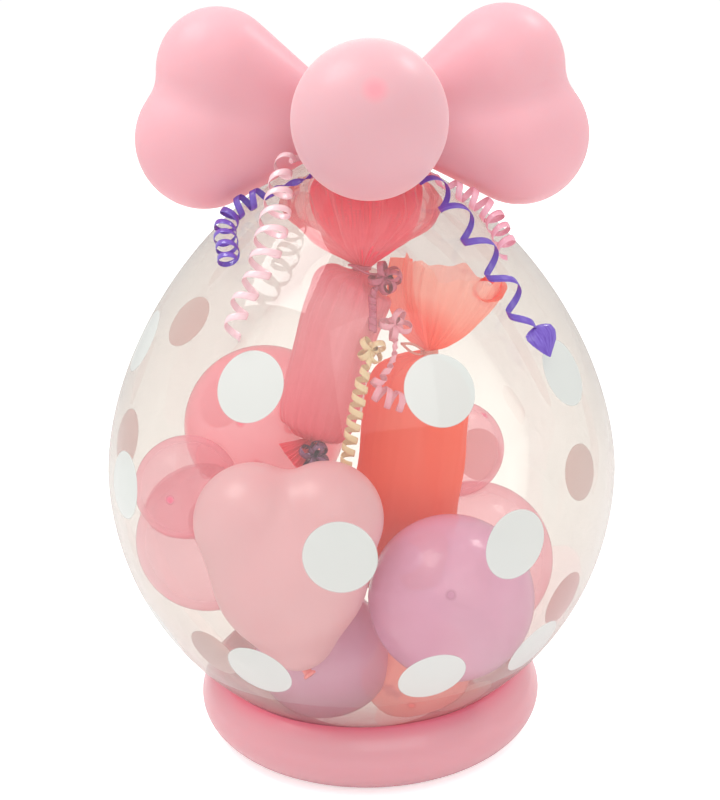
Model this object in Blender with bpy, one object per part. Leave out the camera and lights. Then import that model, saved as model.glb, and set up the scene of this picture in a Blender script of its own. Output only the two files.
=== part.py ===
"""Clear bubble balloon on a ring balloon, with a bow of three balloons and curled ribbons.

Metres, +Z up, the front faces -Y. The origin lies on the floor, on the bubble's axis.
"""
import math

import bmesh
import bpy
import numpy as np
from mathutils import Vector

# Clearance between pieces that touch in the real object
TOUCH_GAP = 0.0006

# Base ring: a tube balloon closed into a ring, pressed oval by the weight on it
RING_RADIUS = 0.108
RING_HALF_WIDTH = 0.038
RING_HALF_HEIGHT = 0.031
RING_FLATTENED = 0.001
RING_OFFSET_X = 0.0034
RING_JOINT_RADIUS_SHARE = 0.24
RING_JOINT_ANGLE = math.radians(13.0)

# Bubble: widest circle, depth below it, rise above it, and the two powers of its shoulder
BUBBLE_RADIUS = 0.2074
BUBBLE_DEPTH = 0.221
BUBBLE_RISE = 0.256
SHOULDER_POWER = 1.76
SHOULDER_FLARE = 0.664
SEAT_DEPTH = 0.0187

# Neck of the bubble, gathered and tied above the shoulder
NECK_RADIUS = 0.008
NECK_GROOVE_RADIUS = 0.0065
NECK_LENGTH = 0.016
NECK_LIP_RADIUS = 0.0098

# Tie: the middle of the ribbons, wound round the neck
TIE_THICKNESS = 0.004
TIE_HEIGHT_ON_NECK = 0.0035

# Bow: two heart balloons side by side in front of the neck, measured from their tips
BOW_CENTRE_X = 0.006
HEART_TIP_SPACING = 0.0265
HEART_TIP_RADIUS = 0.0124
HEART_TIP_ABOVE_NECK = 0.0025
HEART_SET_FORWARD = 0.023
UPPER_LOBE_OUT = 0.0928
UPPER_LOBE_UP = 0.0386
UPPER_LOBE_RADIUS = 0.0467
LOWER_LOBE_OUT = 0.1076
LOWER_LOBE_DOWN = 0.0118
LOWER_LOBE_RADIUS = 0.0510
LOBE_BLEND = 0.011
TAIL_RADIUS = 0.0028
TAIL_LIP_RADIUS = 0.0042
TAIL_LENGTH = 0.034

# Round balloon in the middle of the bow
BALL_RADIUS = 0.0553
BALL_CENTRE_X = 0.011
BALL_NECK_RADIUS = 0.0032
BALL_LIP_RADIUS = 0.0046

# Facets
TIE_STEPS = 20
RING_STEPS = 64
RING_SECTION_STEPS = 17
BUBBLE_STEPS = 52
BUBBLE_LEVELS = 12
HEART_STEPS = 28
HEART_LEVELS = 15
BALL_STEPS = 24
BALL_LEVELS = 12
TUBE_SIDES = 8

# Worked out from the sizes above
RING_CENTRE_Z = RING_HALF_HEIGHT - RING_FLATTENED
RING_TOP = RING_CENTRE_Z + RING_HALF_HEIGHT
BUBBLE_CENTRE_Z = (
    RING_TOP - SEAT_DEPTH
    + BUBBLE_DEPTH * math.sqrt(1.0 - (RING_RADIUS / BUBBLE_RADIUS) ** 2)
)
SHOULDER_TOP = BUBBLE_CENTRE_Z + BUBBLE_RISE
NECK_TOP = SHOULDER_TOP + NECK_LENGTH
TIE_CENTRE_Z = SHOULDER_TOP + TIE_HEIGHT_ON_NECK

# Curled ribbons, each as its outer tube: azimuth from the front in degrees, reach from the
# bubble's axis, tube radius, and extra distance off the bubble
RIBBON_ROUTES = {
    "ribbon_purple_left": (
        (-10, 0.020, 0.0022, 0.0004),
        (-20, 0.040, 0.0026, 0.0004),
        (-28, 0.058, 0.0035, 0.0004),
        (-42, 0.073, 0.0045, 0.0004),
        (-53, 0.089, 0.0075, 0.0010),
        (-57, 0.101, 0.0085, 0.0020),
        (-53, 0.113, 0.0090, 0.0010),
        (-46, 0.122, 0.0090, 0.0010),
        (-41, 0.131, 0.0085, 0.0010),
    ),
    "ribbon_pink_left": (
        (-34, 0.020, 0.0022, 0.0004),
        (-33, 0.034, 0.0024, 0.0004),
        (-36, 0.052, 0.0040, 0.0050),
        (-37, 0.065, 0.0065, 0.0170),
        (-35, 0.077, 0.0080, 0.0160),
        (-32, 0.090, 0.0100, 0.0090),
        (-29, 0.108, 0.0115, 0.0040),
        (-28, 0.122, 0.0115, 0.0020),
        (-29, 0.137, 0.0090, 0.0010),
        (-31, 0.150, 0.0080, 0.0010),
        (-31, 0.163, 0.0070, 0.0010),
    ),
    "ribbon_purple_right": (
        (30, 0.020, 0.0022, 0.0004),
        (37, 0.045, 0.0030, 0.0004),
        (41, 0.066, 0.0060, 0.0010),
        (42, 0.086, 0.0085, 0.0010),
        (41, 0.110, 0.0095, 0.0010),
        (42, 0.131, 0.0095, 0.0010),
        (43, 0.149, 0.0090, 0.0010),
        (43, 0.163, 0.0080, 0.0010),
        (44, 0.172, 0.0060, 0.0010),
    ),
    "ribbon_pink_right": (
        (62, 0.020, 0.0022, 0.0004),
        (57, 0.036, 0.0022, 0.0004),
        (53, 0.052, 0.0030, 0.0004),
        (54, 0.071, 0.0055, 0.0004),
        (58, 0.085, 0.0070, 0.0010),
        (61, 0.097, 0.0080, 0.0020),
        (62, 0.108, 0.0085, 0.0010),
        (58, 0.118, 0.0085, 0.0010),
        (54, 0.130, 0.0080, 0.0010),
    ),
}
ROUTE_STEPS_PER_SPAN = 2


def clear_scene():
    for thing in list(bpy.data.objects):
        bpy.data.objects.remove(thing, do_unlink=True)


def make_material(name, colour, roughness, alpha=1.0):
    material = bpy.data.materials.new(name)
    material.use_nodes = True
    shader = material.node_tree.nodes["Principled BSDF"]
    shader.inputs["Base Color"].default_value = (*colour, 1.0)
    shader.inputs["Roughness"].default_value = roughness
    shader.inputs["Metallic"].default_value = 0.0
    shader.inputs["Alpha"].default_value = alpha
    return material


def add_mesh(name, points, faces, material):
    mesh = bpy.data.meshes.new(name)
    mesh.from_pydata([tuple(map(float, point)) for point in points], [], faces)
    body = bmesh.new()
    body.from_mesh(mesh)
    bmesh.ops.recalc_face_normals(body, faces=body.faces)
    body.to_mesh(mesh)
    body.free()
    mesh.shade_smooth()
    mesh.set_sharp_from_angle(angle=math.radians(50))
    mesh.materials.append(material)
    thing = bpy.data.objects.new(name, mesh)
    bpy.context.scene.collection.objects.link(thing)
    return thing


def skin(rows, closed_rows=False):
    """Faces of a skin over rows of points, wrapped round each row.

    The first and last rows end in a cap, or meet each other when closed_rows is set.
    """
    count = len(rows[0])
    points = np.concatenate(rows)
    faces = []
    spans = len(rows) if closed_rows else len(rows) - 1
    for i in range(spans):
        here = i * count
        there = ((i + 1) % len(rows)) * count
        for j in range(count):
            k = (j + 1) % count
            faces.append((here + j, here + k, there + k, there + j))
    if not closed_rows:
        faces.append(tuple(range(count - 1, -1, -1)))
        last = (len(rows) - 1) * count
        faces.append(tuple(range(last, last + count)))
    return points, faces


def circle_row(radius, height, steps):
    turn = np.arange(steps) * 2.0 * math.pi / steps
    return np.stack([
        radius * np.cos(turn),
        radius * np.sin(turn),
        np.full(steps, height),
    ], axis=1)


def shoulder_radius(rise_share):
    """Radius of the bubble at a share of the way from its widest circle up to its neck."""
    full = (1.0 - rise_share ** SHOULDER_POWER) ** SHOULDER_FLARE
    return NECK_RADIUS + (BUBBLE_RADIUS - NECK_RADIUS) * full


def shoulder_share(reach):
    """The share of the rise at which the shoulder has the radius reach."""
    full = (reach - NECK_RADIUS) / (BUBBLE_RADIUS - NECK_RADIUS)
    return (1.0 - full ** (1.0 / SHOULDER_FLARE)) ** (1.0 / SHOULDER_POWER)


def shoulder_frame(azimuth, reach):
    """A point on the shoulder, and the outward normal there."""
    step = 0.0005
    low = BUBBLE_CENTRE_Z + BUBBLE_RISE * shoulder_share(reach + step)
    high = BUBBLE_CENTRE_Z + BUBBLE_RISE * shoulder_share(reach - step)
    outward = Vector((high - low, 2.0 * step)).normalized()
    across = Vector((math.sin(azimuth), -math.cos(azimuth), 0.0))
    point = across * reach + Vector((0.0, 0.0, (low + high) / 2.0))
    normal = across * outward.x + Vector((0.0, 0.0, outward.y))
    return point, normal


def resting_height(radius, distance):
    """Height of the centre of a ball that rests on the shoulder, at a distance from the axis."""
    reach = np.linspace(max(distance - radius, NECK_RADIUS), distance, 400)
    surface = BUBBLE_CENTRE_Z + BUBBLE_RISE * shoulder_share(reach)
    above = np.sqrt(np.maximum(radius ** 2 - (distance - reach) ** 2, 0.0))
    return float((surface + above).max())


def pushed_off_bubble(points):
    """Points inside the bubble's underside, moved straight out from its centre to clear it."""
    centre = np.array([0.0, 0.0, BUBBLE_CENTRE_Z])
    half = np.array([BUBBLE_RADIUS, BUBBLE_RADIUS, BUBBLE_DEPTH]) + TOUCH_GAP
    offset = points - centre
    depth = np.sqrt(((offset / half) ** 2).sum(axis=1, keepdims=True))
    return centre + offset / np.minimum(depth, 1.0)


def build_base_ring():
    """An oval tube bent into a ring, flat below, pressed in by the bubble, tied at the back."""
    first = math.asin(-RING_CENTRE_Z / RING_HALF_HEIGHT)
    around = np.linspace(first, math.pi - first, RING_SECTION_STEPS)
    rows = []
    for step in range(RING_STEPS):
        turn = 2.0 * math.pi * step / RING_STEPS
        from_back = abs((turn - math.pi / 2.0 + math.pi) % (2.0 * math.pi) - math.pi)
        swell = min(from_back / RING_JOINT_ANGLE, 1.0)
        round_end = math.sqrt(1.0 - (1.0 - swell) ** 2)
        share = RING_JOINT_RADIUS_SHARE + (1.0 - RING_JOINT_RADIUS_SHARE) * round_end
        radius = RING_RADIUS + RING_HALF_WIDTH * share * np.cos(around)
        height = RING_CENTRE_Z + RING_HALF_HEIGHT * share * np.sin(around)
        x = RING_OFFSET_X + radius * math.cos(turn)
        y = radius * math.sin(turn)
        rows.append(pushed_off_bubble(np.stack([x, y, height], axis=1)))
    points, faces = skin(rows, closed_rows=True)
    latex = make_material("pink_latex", (0.78, 0.34, 0.40), 0.25)
    return add_mesh("base_ring", points, faces, latex)


def build_bubble():
    """The egg-shaped bubble with its gathered neck, turned about the Z axis."""
    rows = []
    for level in range(1, BUBBLE_LEVELS + 1):
        angle = math.pi / 2.0 * level / BUBBLE_LEVELS
        height = BUBBLE_CENTRE_Z - BUBBLE_DEPTH * math.cos(angle)
        rows.append(circle_row(BUBBLE_RADIUS * math.sin(angle), height, BUBBLE_STEPS))
    for level in range(1, BUBBLE_LEVELS + 1):
        share = math.sin(math.pi / 2.0 * level / BUBBLE_LEVELS)
        height = BUBBLE_CENTRE_Z + BUBBLE_RISE * share
        rows.append(circle_row(shoulder_radius(share), height, BUBBLE_STEPS))
    for radius, share in (
        (NECK_GROOVE_RADIUS, 0.10),
        (NECK_GROOVE_RADIUS, 0.36),
        (NECK_RADIUS, 0.55),
        (NECK_LIP_RADIUS, 0.85),
        (NECK_LIP_RADIUS, 0.95),
        (NECK_GROOVE_RADIUS, 1.00),
    ):
        height = SHOULDER_TOP + NECK_LENGTH * share
        rows.append(circle_row(radius, height, BUBBLE_STEPS))
    points, faces = skin(rows)
    film = make_material("clear_latex", (0.93, 0.90, 0.86), 0.05, alpha=0.25)
    return add_mesh("bubble", points, faces, film)


def build_tie():
    """The ribbons' wound middle, a ring round the neck's groove."""
    minor = TIE_THICKNESS / 2.0
    major = NECK_GROOVE_RADIUS + TOUCH_GAP + minor
    rows = []
    around = np.arange(TUBE_SIDES) * 2.0 * math.pi / TUBE_SIDES
    for step in range(TIE_STEPS):
        turn = 2.0 * math.pi * step / TIE_STEPS
        radius = major + minor * np.cos(around)
        height = TIE_CENTRE_Z + minor * np.sin(around)
        x = radius * math.cos(turn)
        y = radius * math.sin(turn)
        rows.append(np.stack([x, y, height], axis=1))
    points, faces = skin(rows, closed_rows=True)
    ribbon = make_material("tie_ribbon", (0.16, 0.06, 0.45), 0.3)
    return add_mesh("ribbon_tie", points, faces, ribbon)


def cone_distance(points, start, end, start_radius, end_radius):
    """Distance to a cone with round ends, from start to end."""
    along = end - start
    length = np.linalg.norm(along)
    unit = along / length
    lean = (start_radius - end_radius) / length
    upright = math.sqrt(1.0 - lean * lean)
    offset = points - start
    run = offset @ unit
    rise = np.linalg.norm(offset - run[:, None] * unit, axis=1)
    foot = np.clip(run - rise * lean / upright, 0.0, length)
    radius = start_radius + (end_radius - start_radius) * foot / length
    return np.hypot(run - foot, rise) - radius


def blended(first, second, width):
    """Smaller of two distances, rounded over where they meet."""
    mix = np.clip(0.5 + 0.5 * (second - first) / width, 0.0, 1.0)
    return second * (1.0 - mix) + first * mix - width * mix * (1.0 - mix)


def heart_distance(points):
    """Distance to a heart whose tip is the origin and whose lobes lie towards +X."""
    tip = np.zeros(3)
    upper = np.array([UPPER_LOBE_OUT, 0.0, UPPER_LOBE_UP])
    lower = np.array([LOWER_LOBE_OUT, 0.0, -LOWER_LOBE_DOWN])
    first = cone_distance(points, tip, upper, HEART_TIP_RADIUS, UPPER_LOBE_RADIUS)
    second = cone_distance(points, tip, lower, HEART_TIP_RADIUS, LOWER_LOBE_RADIUS)
    return blended(first, second, LOBE_BLEND)


def heart_rows():
    """Rows of points on the heart, found along rays from a point between its lobes."""
    middle = np.array([(UPPER_LOBE_OUT + LOWER_LOBE_OUT) * 0.38, 0.0, 0.008])
    furthest = LOWER_LOBE_OUT + LOWER_LOBE_RADIUS
    turn = np.arange(HEART_STEPS) * 2.0 * math.pi / HEART_STEPS
    rows = []
    for level in range(1, HEART_LEVELS):
        tilt = math.pi * level / HEART_LEVELS
        rays = np.stack([
            math.sin(tilt) * np.cos(turn),
            np.full(HEART_STEPS, -math.cos(tilt)),
            math.sin(tilt) * np.sin(turn),
        ], axis=1)
        near = np.zeros(HEART_STEPS)
        far = np.full(HEART_STEPS, furthest)
        for _ in range(24):
            half = (near + far) / 2.0
            inside = heart_distance(middle + rays * half[:, None]) < 0.0
            near = np.where(inside, half, near)
            far = np.where(inside, far, half)
        rows.append(middle + rays * near[:, None])
    return rows


def tapered_tube(route, radii, sides):
    """Rows of a round tube along route, with one radius for each point."""
    rows = []
    turn = np.arange(sides) * 2.0 * math.pi / sides
    for i, centre in enumerate(route):
        before = Vector(route[max(i - 1, 0)])
        after = Vector(route[min(i + 1, len(route) - 1)])
        ahead = (after - before).normalized()
        side = ahead.cross(Vector((0.0, 0.0, 1.0))).normalized()
        up = side.cross(ahead)
        ring = np.outer(np.cos(turn), side) + np.outer(np.sin(turn), up)
        rows.append(np.array(centre) + ring * radii[i])
    return rows


def build_heart(name, side):
    """A heart balloon lying on its side, and its tail, bent back beside the neck."""
    latex = make_material(name + "_latex", (0.85, 0.42, 0.46), 0.28)
    points, faces = skin(heart_rows())
    tip = heart_tip(side)
    heart = add_mesh(name, points * np.array([side, 1.0, 1.0]) + tip, faces, latex)
    beside_neck = side * (NECK_LIP_RADIUS + TAIL_LIP_RADIUS + TOUCH_GAP)
    start = tip + np.array([side * TAIL_RADIUS, 0.0, 0.0])
    bend = np.array([beside_neck, tip[1] + TAIL_LENGTH / 2.0, tip[2]])
    end = np.array([beside_neck, tip[1] + TAIL_LENGTH, tip[2]])
    route = [
        start,
        bend,
        end - np.array([0.0, TAIL_RADIUS * 2.0, 0.0]),
        end - np.array([0.0, TAIL_RADIUS, 0.0]),
        end,
    ]
    radii = [TAIL_RADIUS, TAIL_RADIUS, TAIL_RADIUS, TAIL_LIP_RADIUS, TAIL_LIP_RADIUS]
    points, faces = skin(tapered_tube(route, radii, TUBE_SIDES))
    tail = add_mesh(name + "_tail", points, faces, latex)
    tail.hide_render = True
    tail.display_type = "WIRE"
    join = heart.modifiers.new("tail", "BOOLEAN")
    join.operation = "UNION"
    join.solver = "EXACT"
    join.object = tail
    return heart


def shoulder_samples():
    """Points all over the shoulder, to keep the bow clear of it."""
    points = []
    for reach in np.linspace(NECK_RADIUS * 1.2, BUBBLE_RADIUS * 0.8, 40):
        height = BUBBLE_CENTRE_Z + BUBBLE_RISE * shoulder_share(reach)
        points.append(circle_row(reach, height, 72))
    return np.concatenate(points)


def heart_tip(side):
    """Where a heart's tip lies, just over the neck's top and with the heart off the shoulder."""
    tip = np.array([
        BOW_CENTRE_X + side * HEART_TIP_SPACING / 2.0,
        -HEART_SET_FORWARD,
        NECK_TOP + HEART_TIP_ABOVE_NECK,
    ])
    shoulder = shoulder_samples()
    facing = np.array([side, 1.0, 1.0])
    step = TOUCH_GAP
    while heart_distance((shoulder - tip) * facing).min() < TOUCH_GAP:
        tip[2] += step
    return tip


def ball_centre():
    """Where the round balloon lies against both hearts and on the shoulder."""
    cleared = BALL_RADIUS + TOUCH_GAP
    near = HEART_SET_FORWARD
    far = HEART_SET_FORWARD + 2.0 * (BALL_RADIUS + UPPER_LOBE_RADIUS)
    for _ in range(24):
        forward = (near + far) / 2.0
        height = resting_height(cleared, math.hypot(BALL_CENTRE_X, forward))
        centre = np.array([BALL_CENTRE_X, -forward, height])
        free = min(
            heart_distance((centre - heart_tip(side))[None] * np.array([side, 1.0, 1.0]))[0]
            for side in (-1, 1)
        )
        if free < cleared:
            near = forward
        else:
            far = forward
    return Vector(centre)


def build_ball():
    """A round balloon whose crown faces the front, its neck tied behind it."""
    centre = ball_centre()
    front_of_tie = NECK_GROOVE_RADIUS + TOUCH_GAP + TIE_THICKNESS + TOUCH_GAP
    aside = math.asin(BOW_CENTRE_X / front_of_tie)
    tied_end = Vector((BOW_CENTRE_X, -front_of_tie * math.cos(aside), TIE_CENTRE_Z))
    reach = (tied_end - centre).length
    rows = []
    for level in range(1, BALL_LEVELS):
        angle = math.pi * level / BALL_LEVELS
        radius = BALL_RADIUS * math.sin(angle)
        rows.append(circle_row(radius, -BALL_RADIUS * math.cos(angle), BALL_STEPS))
    for radius, height in (
        (BALL_NECK_RADIUS * 1.8, BALL_RADIUS * 1.01),
        (BALL_NECK_RADIUS, BALL_RADIUS * 1.10),
        (BALL_NECK_RADIUS, reach - BALL_LIP_RADIUS * 1.2),
        (BALL_LIP_RADIUS, reach - BALL_LIP_RADIUS * 0.8),
        (BALL_LIP_RADIUS, reach - BALL_LIP_RADIUS * 0.3),
        (BALL_NECK_RADIUS, reach - TOUCH_GAP),
    ):
        rows.append(circle_row(radius, height, BALL_STEPS))
    points, faces = skin(rows)
    latex = make_material("ball_latex", (0.86, 0.48, 0.52), 0.25)
    ball = add_mesh("ball_balloon", points, faces, latex)
    ball.location = centre
    ball.rotation_mode = "QUATERNION"
    ball.rotation_quaternion = Vector((0.0, 0.0, 1.0)).rotation_difference(tied_end - centre)
    return ball


def smooth_route(stations):
    """Points and radii on a smooth curve through a ribbon's stations."""
    keys = []
    for azimuth, reach, radius, extra in stations:
        point, normal = shoulder_frame(math.radians(azimuth), reach)
        keys.append((*(point + normal * (radius + TOUCH_GAP + extra)), radius))
    keys = np.array(keys)
    padded = np.vstack([2.0 * keys[0] - keys[1], keys, 2.0 * keys[-1] - keys[-2]])
    route = []
    for i in range(1, len(padded) - 2):
        before, here, there, after = padded[i - 1:i + 3]
        for step in range(ROUTE_STEPS_PER_SPAN):
            t = step / ROUTE_STEPS_PER_SPAN
            route.append(0.5 * (
                2.0 * here + (there - before) * t
                + (2.0 * before - 5.0 * here + 4.0 * there - after) * t * t
                + (3.0 * here - before - 3.0 * there + after) * t ** 3
            ))
    route.append(keys[-1])
    return np.array(route)


def build_ribbon(name, stations, colour):
    """One curled ribbon as the tube that its curls fill."""
    route = smooth_route(stations)
    curve = bpy.data.curves.new(name, "CURVE")
    curve.dimensions = "3D"
    curve.bevel_depth = 1.0
    curve.bevel_resolution = (TUBE_SIDES - 4) // 2
    curve.use_fill_caps = True
    spline = curve.splines.new("POLY")
    spline.points.add(len(route) - 1)
    for point, (x, y, z, radius) in zip(spline.points, route):
        point.co = (x, y, z, 1.0)
        point.radius = radius
    curve.materials.append(make_material(name, colour, 0.3))
    thing = bpy.data.objects.new(name, curve)
    bpy.context.scene.collection.objects.link(thing)
    return thing


def main():
    clear_scene()
    build_base_ring()
    build_bubble()
    build_tie()
    build_heart("heart_left", -1)
    build_heart("heart_right", 1)
    build_ball()
    purple = (0.16, 0.06, 0.45)
    pink = (0.85, 0.45, 0.55)
    for name, stations in RIBBON_ROUTES.items():
        build_ribbon(name, stations, purple if "purple" in name else pink)


main()
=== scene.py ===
"""Finish of the clear bubble balloon: dotted film, ring, bow, curled ribbons and what is sealed in.

Metres, +Z up, the front faces -Y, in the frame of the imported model.
"""
import math

import bmesh
import bpy
import numpy as np
from mathutils import Matrix, Vector


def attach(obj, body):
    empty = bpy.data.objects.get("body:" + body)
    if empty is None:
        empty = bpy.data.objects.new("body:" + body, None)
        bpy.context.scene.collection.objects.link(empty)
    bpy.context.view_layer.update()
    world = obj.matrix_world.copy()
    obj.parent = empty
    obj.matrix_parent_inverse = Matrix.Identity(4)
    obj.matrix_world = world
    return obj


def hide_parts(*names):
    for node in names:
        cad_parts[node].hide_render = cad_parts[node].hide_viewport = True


bl_info = {
    "name": "Bubble balloon",
    "version": (1, 0, 0),
    "blender": (4, 5, 0),
    "location": "View3D > Sidebar > Bubble balloon",
    "description": "Builds a stuffed bubble balloon with its bow, ribbons and gifts",
    "category": "Add Mesh",
}

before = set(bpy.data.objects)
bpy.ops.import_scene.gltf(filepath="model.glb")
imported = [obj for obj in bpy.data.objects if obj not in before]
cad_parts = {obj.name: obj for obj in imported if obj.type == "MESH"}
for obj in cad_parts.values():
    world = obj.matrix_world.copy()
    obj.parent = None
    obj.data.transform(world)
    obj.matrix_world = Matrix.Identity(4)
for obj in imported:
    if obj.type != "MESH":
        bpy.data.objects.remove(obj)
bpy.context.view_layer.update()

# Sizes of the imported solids, in metres
TOUCH_GAP = 0.0006
RING_FLATTENED = 0.001
RING_OFFSET_X = 0.0034
RING_JOINT_RADIUS_SHARE = 0.24
RING_JOINT_ANGLE = math.radians(13.0)
SHOULDER_POWER = 1.76
SHOULDER_FLARE = 0.664
SEAT_DEPTH = 0.0187
NECK_RADIUS = 0.008
NECK_GROOVE_RADIUS = 0.0065
NECK_LENGTH = 0.016
NECK_LIP_RADIUS = 0.0098
TIE_HEIGHT_ON_NECK = 0.0035
LOBE_BLEND = 0.011
HEART_TIP_RADIUS = 0.0124
BALL_NECK_RADIUS = 0.0032
BALL_LIP_RADIUS = 0.0046
HEART_LIP_RADIUS = 0.0042
HEART_TIPS = {-1: (-0.00725, -0.023, 0.5073), 1: (0.01925, -0.023, 0.5055)}
BALL_CENTRE = (0.011, -0.0959, 0.5104)
BALL_TIED_AT = (0.006, -0.0093, 0.4905)
# Lobes of a heart of the bow, from its tip: centre and radius. Then a place well inside it
HEART_LOBES = (((0.0928, 0.0, 0.0386), 0.0467), ((0.1076, 0.0, -0.0118), 0.0510))
HEART_MIDDLE = (0.0762, 0.0, 0.008)

# Routes of the outer ribbons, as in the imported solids: azimuth from the front in degrees, reach
# from the bubble's axis, radius of the curl, extra distance off the bubble
RIBBON_ROUTES = {
    "ribbon_purple_left": (
        (-10, 0.020, 0.0022, 0.0004), (-20, 0.040, 0.0026, 0.0004),
        (-28, 0.058, 0.0035, 0.0004), (-42, 0.073, 0.0045, 0.0004),
        (-53, 0.089, 0.0075, 0.0010), (-57, 0.101, 0.0085, 0.0020),
        (-53, 0.113, 0.0090, 0.0010), (-46, 0.122, 0.0090, 0.0010),
        (-41, 0.131, 0.0085, 0.0010),
    ),
    "ribbon_pink_left": (
        (-34, 0.020, 0.0022, 0.0004), (-33, 0.034, 0.0024, 0.0004),
        (-36, 0.052, 0.0040, 0.0050), (-37, 0.065, 0.0065, 0.0170),
        (-35, 0.077, 0.0080, 0.0160), (-32, 0.090, 0.0100, 0.0090),
        (-29, 0.108, 0.0115, 0.0040), (-28, 0.122, 0.0115, 0.0020),
        (-29, 0.137, 0.0090, 0.0010), (-31, 0.150, 0.0080, 0.0010),
        (-31, 0.163, 0.0070, 0.0010),
    ),
    "ribbon_purple_right": (
        (30, 0.020, 0.0022, 0.0004), (37, 0.045, 0.0030, 0.0004),
        (41, 0.066, 0.0060, 0.0010), (42, 0.086, 0.0085, 0.0010),
        (41, 0.110, 0.0095, 0.0010), (42, 0.131, 0.0095, 0.0010),
        (43, 0.149, 0.0090, 0.0010), (43, 0.163, 0.0080, 0.0010),
        (44, 0.172, 0.0060, 0.0010),
    ),
    "ribbon_pink_right": (
        (62, 0.020, 0.0022, 0.0004), (57, 0.036, 0.0022, 0.0004),
        (53, 0.052, 0.0030, 0.0004), (54, 0.071, 0.0055, 0.0004),
        (58, 0.085, 0.0070, 0.0010), (61, 0.097, 0.0080, 0.0020),
        (62, 0.108, 0.0085, 0.0010), (58, 0.118, 0.0085, 0.0010),
        (54, 0.130, 0.0080, 0.0010),
    ),
}
# Length along the centre line of one turn of each outer ribbon's curl, start angle, direction
RIBBON_CURLS = {
    "ribbon_purple_left": (0.0125, 0.0, 1),
    "ribbon_pink_left": (0.0165, 1.0, -1),
    "ribbon_purple_right": (0.0320, 0.6, 1),
    "ribbon_pink_right": (0.0125, 0.0, -1),
}

# Steepness of a dot's edge, per metre
DOT_SHARPNESS = 1400.0

# Centres of the printed dots: azimuth from the front and latitude from the bubble's centre
DOTS = (
    (-25.1, 31.0), (17.7, 30.0), (55.2, 28.2), (-74, 34), (-122.6, 29.6), (178, 34),
    (-4.4, -0.5), (30.9, -1.9), (-60, 5), (-101, 3.4), (107.3, -9.9), (-140, 3), (178, 0),
    (-25.4, -30.4), (15.4, -31.3), (45.4, -31.8), (86.9, -36.4), (-86.8, -52.3), (145, -14),
    (-62, -31), (128, -40), (-128, -28), (-168, -30), (168, -36), (0, -62), (60, -64),
    (150, -66), (-150, -62),
)


def from_screen(red, green, blue):
    """A screen colour of 0 to 255 as the linear colour that shaders use."""
    share = np.array([red, green, blue]) / 255.0
    return tuple(float(c) for c in np.where(
        share <= 0.04045, share / 12.92, ((share + 0.055) / 1.055) ** 2.4))


def length(name, default, description):
    return bpy.props.FloatProperty(
        name=name, default=default, description=description, min=0.0, unit="LENGTH")


def colour(name, screen, description):
    return bpy.props.FloatVectorProperty(
        name=name, default=from_screen(*screen), description=description, subtype="COLOR",
        size=3, min=0.0, max=1.0)


class BalloonSizes(bpy.types.PropertyGroup):
    """Sizes of the balloon's pieces."""

    bubble_radius: length("Bubble radius", 0.2074, "Radius of the bubble's widest circle")
    bubble_depth: length("Bubble depth", 0.221, "Depth of the bubble below its widest circle")
    bubble_rise: length("Bubble rise", 0.256, "Height of the bubble above its widest circle")
    dot_radius: length("Dot radius", 0.0255, "Radius of a printed dot")
    ring_radius: length("Ring radius", 0.108, "Radius of the ring's centre line")
    ring_half_width: length("Ring half width", 0.038, "Half the width of the ring's tube")
    ring_half_height: length("Ring half height", 0.031, "Half the height of the ring's tube")
    ball_radius: length("Round balloon radius", 0.0553, "Radius of the bow's round balloon")
    ribbon_width: length("Ribbon width", 0.005, "Width of the curling ribbon")


class BalloonColours(bpy.types.PropertyGroup):
    """Colours of the balloon's pieces."""

    film: colour("Film", (208, 200, 192), "Tint of the clear film")
    ink: colour("Dot ink", (206, 210, 206), "Printed dots")
    ring: colour("Ring", (198, 144, 151), "Latex of the base ring")
    heart: colour("Hearts", (214, 166, 173), "Latex of the bow's hearts")
    ball: colour("Round balloon", (208, 166, 172), "Latex of the bow's round balloon")
    purple: colour("Purple ribbon", (128, 104, 205), "Purple curling ribbon")
    pink: colour("Pink ribbon", (244, 205, 214), "Pink curling ribbon")
    cream: colour("Cream ribbon", (246, 226, 182), "Cream curling ribbon")
    mauve: colour("Mauve ribbon", (240, 142, 166), "Metallic ribbons on the net gift")
    net: colour("Net", (233, 148, 157), "Net round the body of the first gift")
    fan: colour("Net fan", (255, 74, 112), "Net where it is gathered in layers")
    foil: colour("Gift film", (246, 88, 56), "Film round the second gift")
    flare: colour("Film flare", (255, 196, 180), "Film where it is spread in one layer")
    inner_heart: colour("Inner heart", (222, 176, 182), "Latex of the heart in the bubble")
    lilac: colour("Lilac latex", (230, 176, 206), "Lilac balloons in the bubble")
    rose: colour("Rose latex", (245, 186, 198), "Clear pink balloons in the bubble")
    deep: colour("Deep pink latex", (255, 180, 192), "Deep pink balloons in the bubble")
    salmon: colour("Salmon latex", (255, 172, 158), "Low balloon under the gifts")


# ---------------------------------------------------------------- shapes

def unit(vectors):
    return vectors / np.maximum(np.linalg.norm(vectors, axis=-1, keepdims=True), 1e-12)


def smooth_line(keys, steps):
    """Points on the curve through the keys: a cubic on each span whose slope at a key is half
    the way from the key before to the key after."""
    keys = np.array(keys, dtype=float)
    padded = np.vstack([2.0 * keys[0] - keys[1], keys, 2.0 * keys[-1] - keys[-2]])
    spans = len(keys) - 1
    before, here, there, after = (padded[i:i + spans, None, :] for i in range(4))
    t = (np.arange(steps) / steps)[None, :, None]
    points = 0.5 * (
        2.0 * here + (there - before) * t
        + (2.0 * before - 5.0 * here + 4.0 * there - after) * t ** 2
        + (3.0 * here - before - 3.0 * there + after) * t ** 3)
    return np.vstack([points.reshape(-1, keys.shape[1]), keys[-1]])


def run_of(points):
    """Distance along a line of points, up to each of them."""
    steps = np.linalg.norm(np.diff(points, axis=0), axis=1)
    return np.concatenate([[0.0], np.cumsum(steps)])


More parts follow.
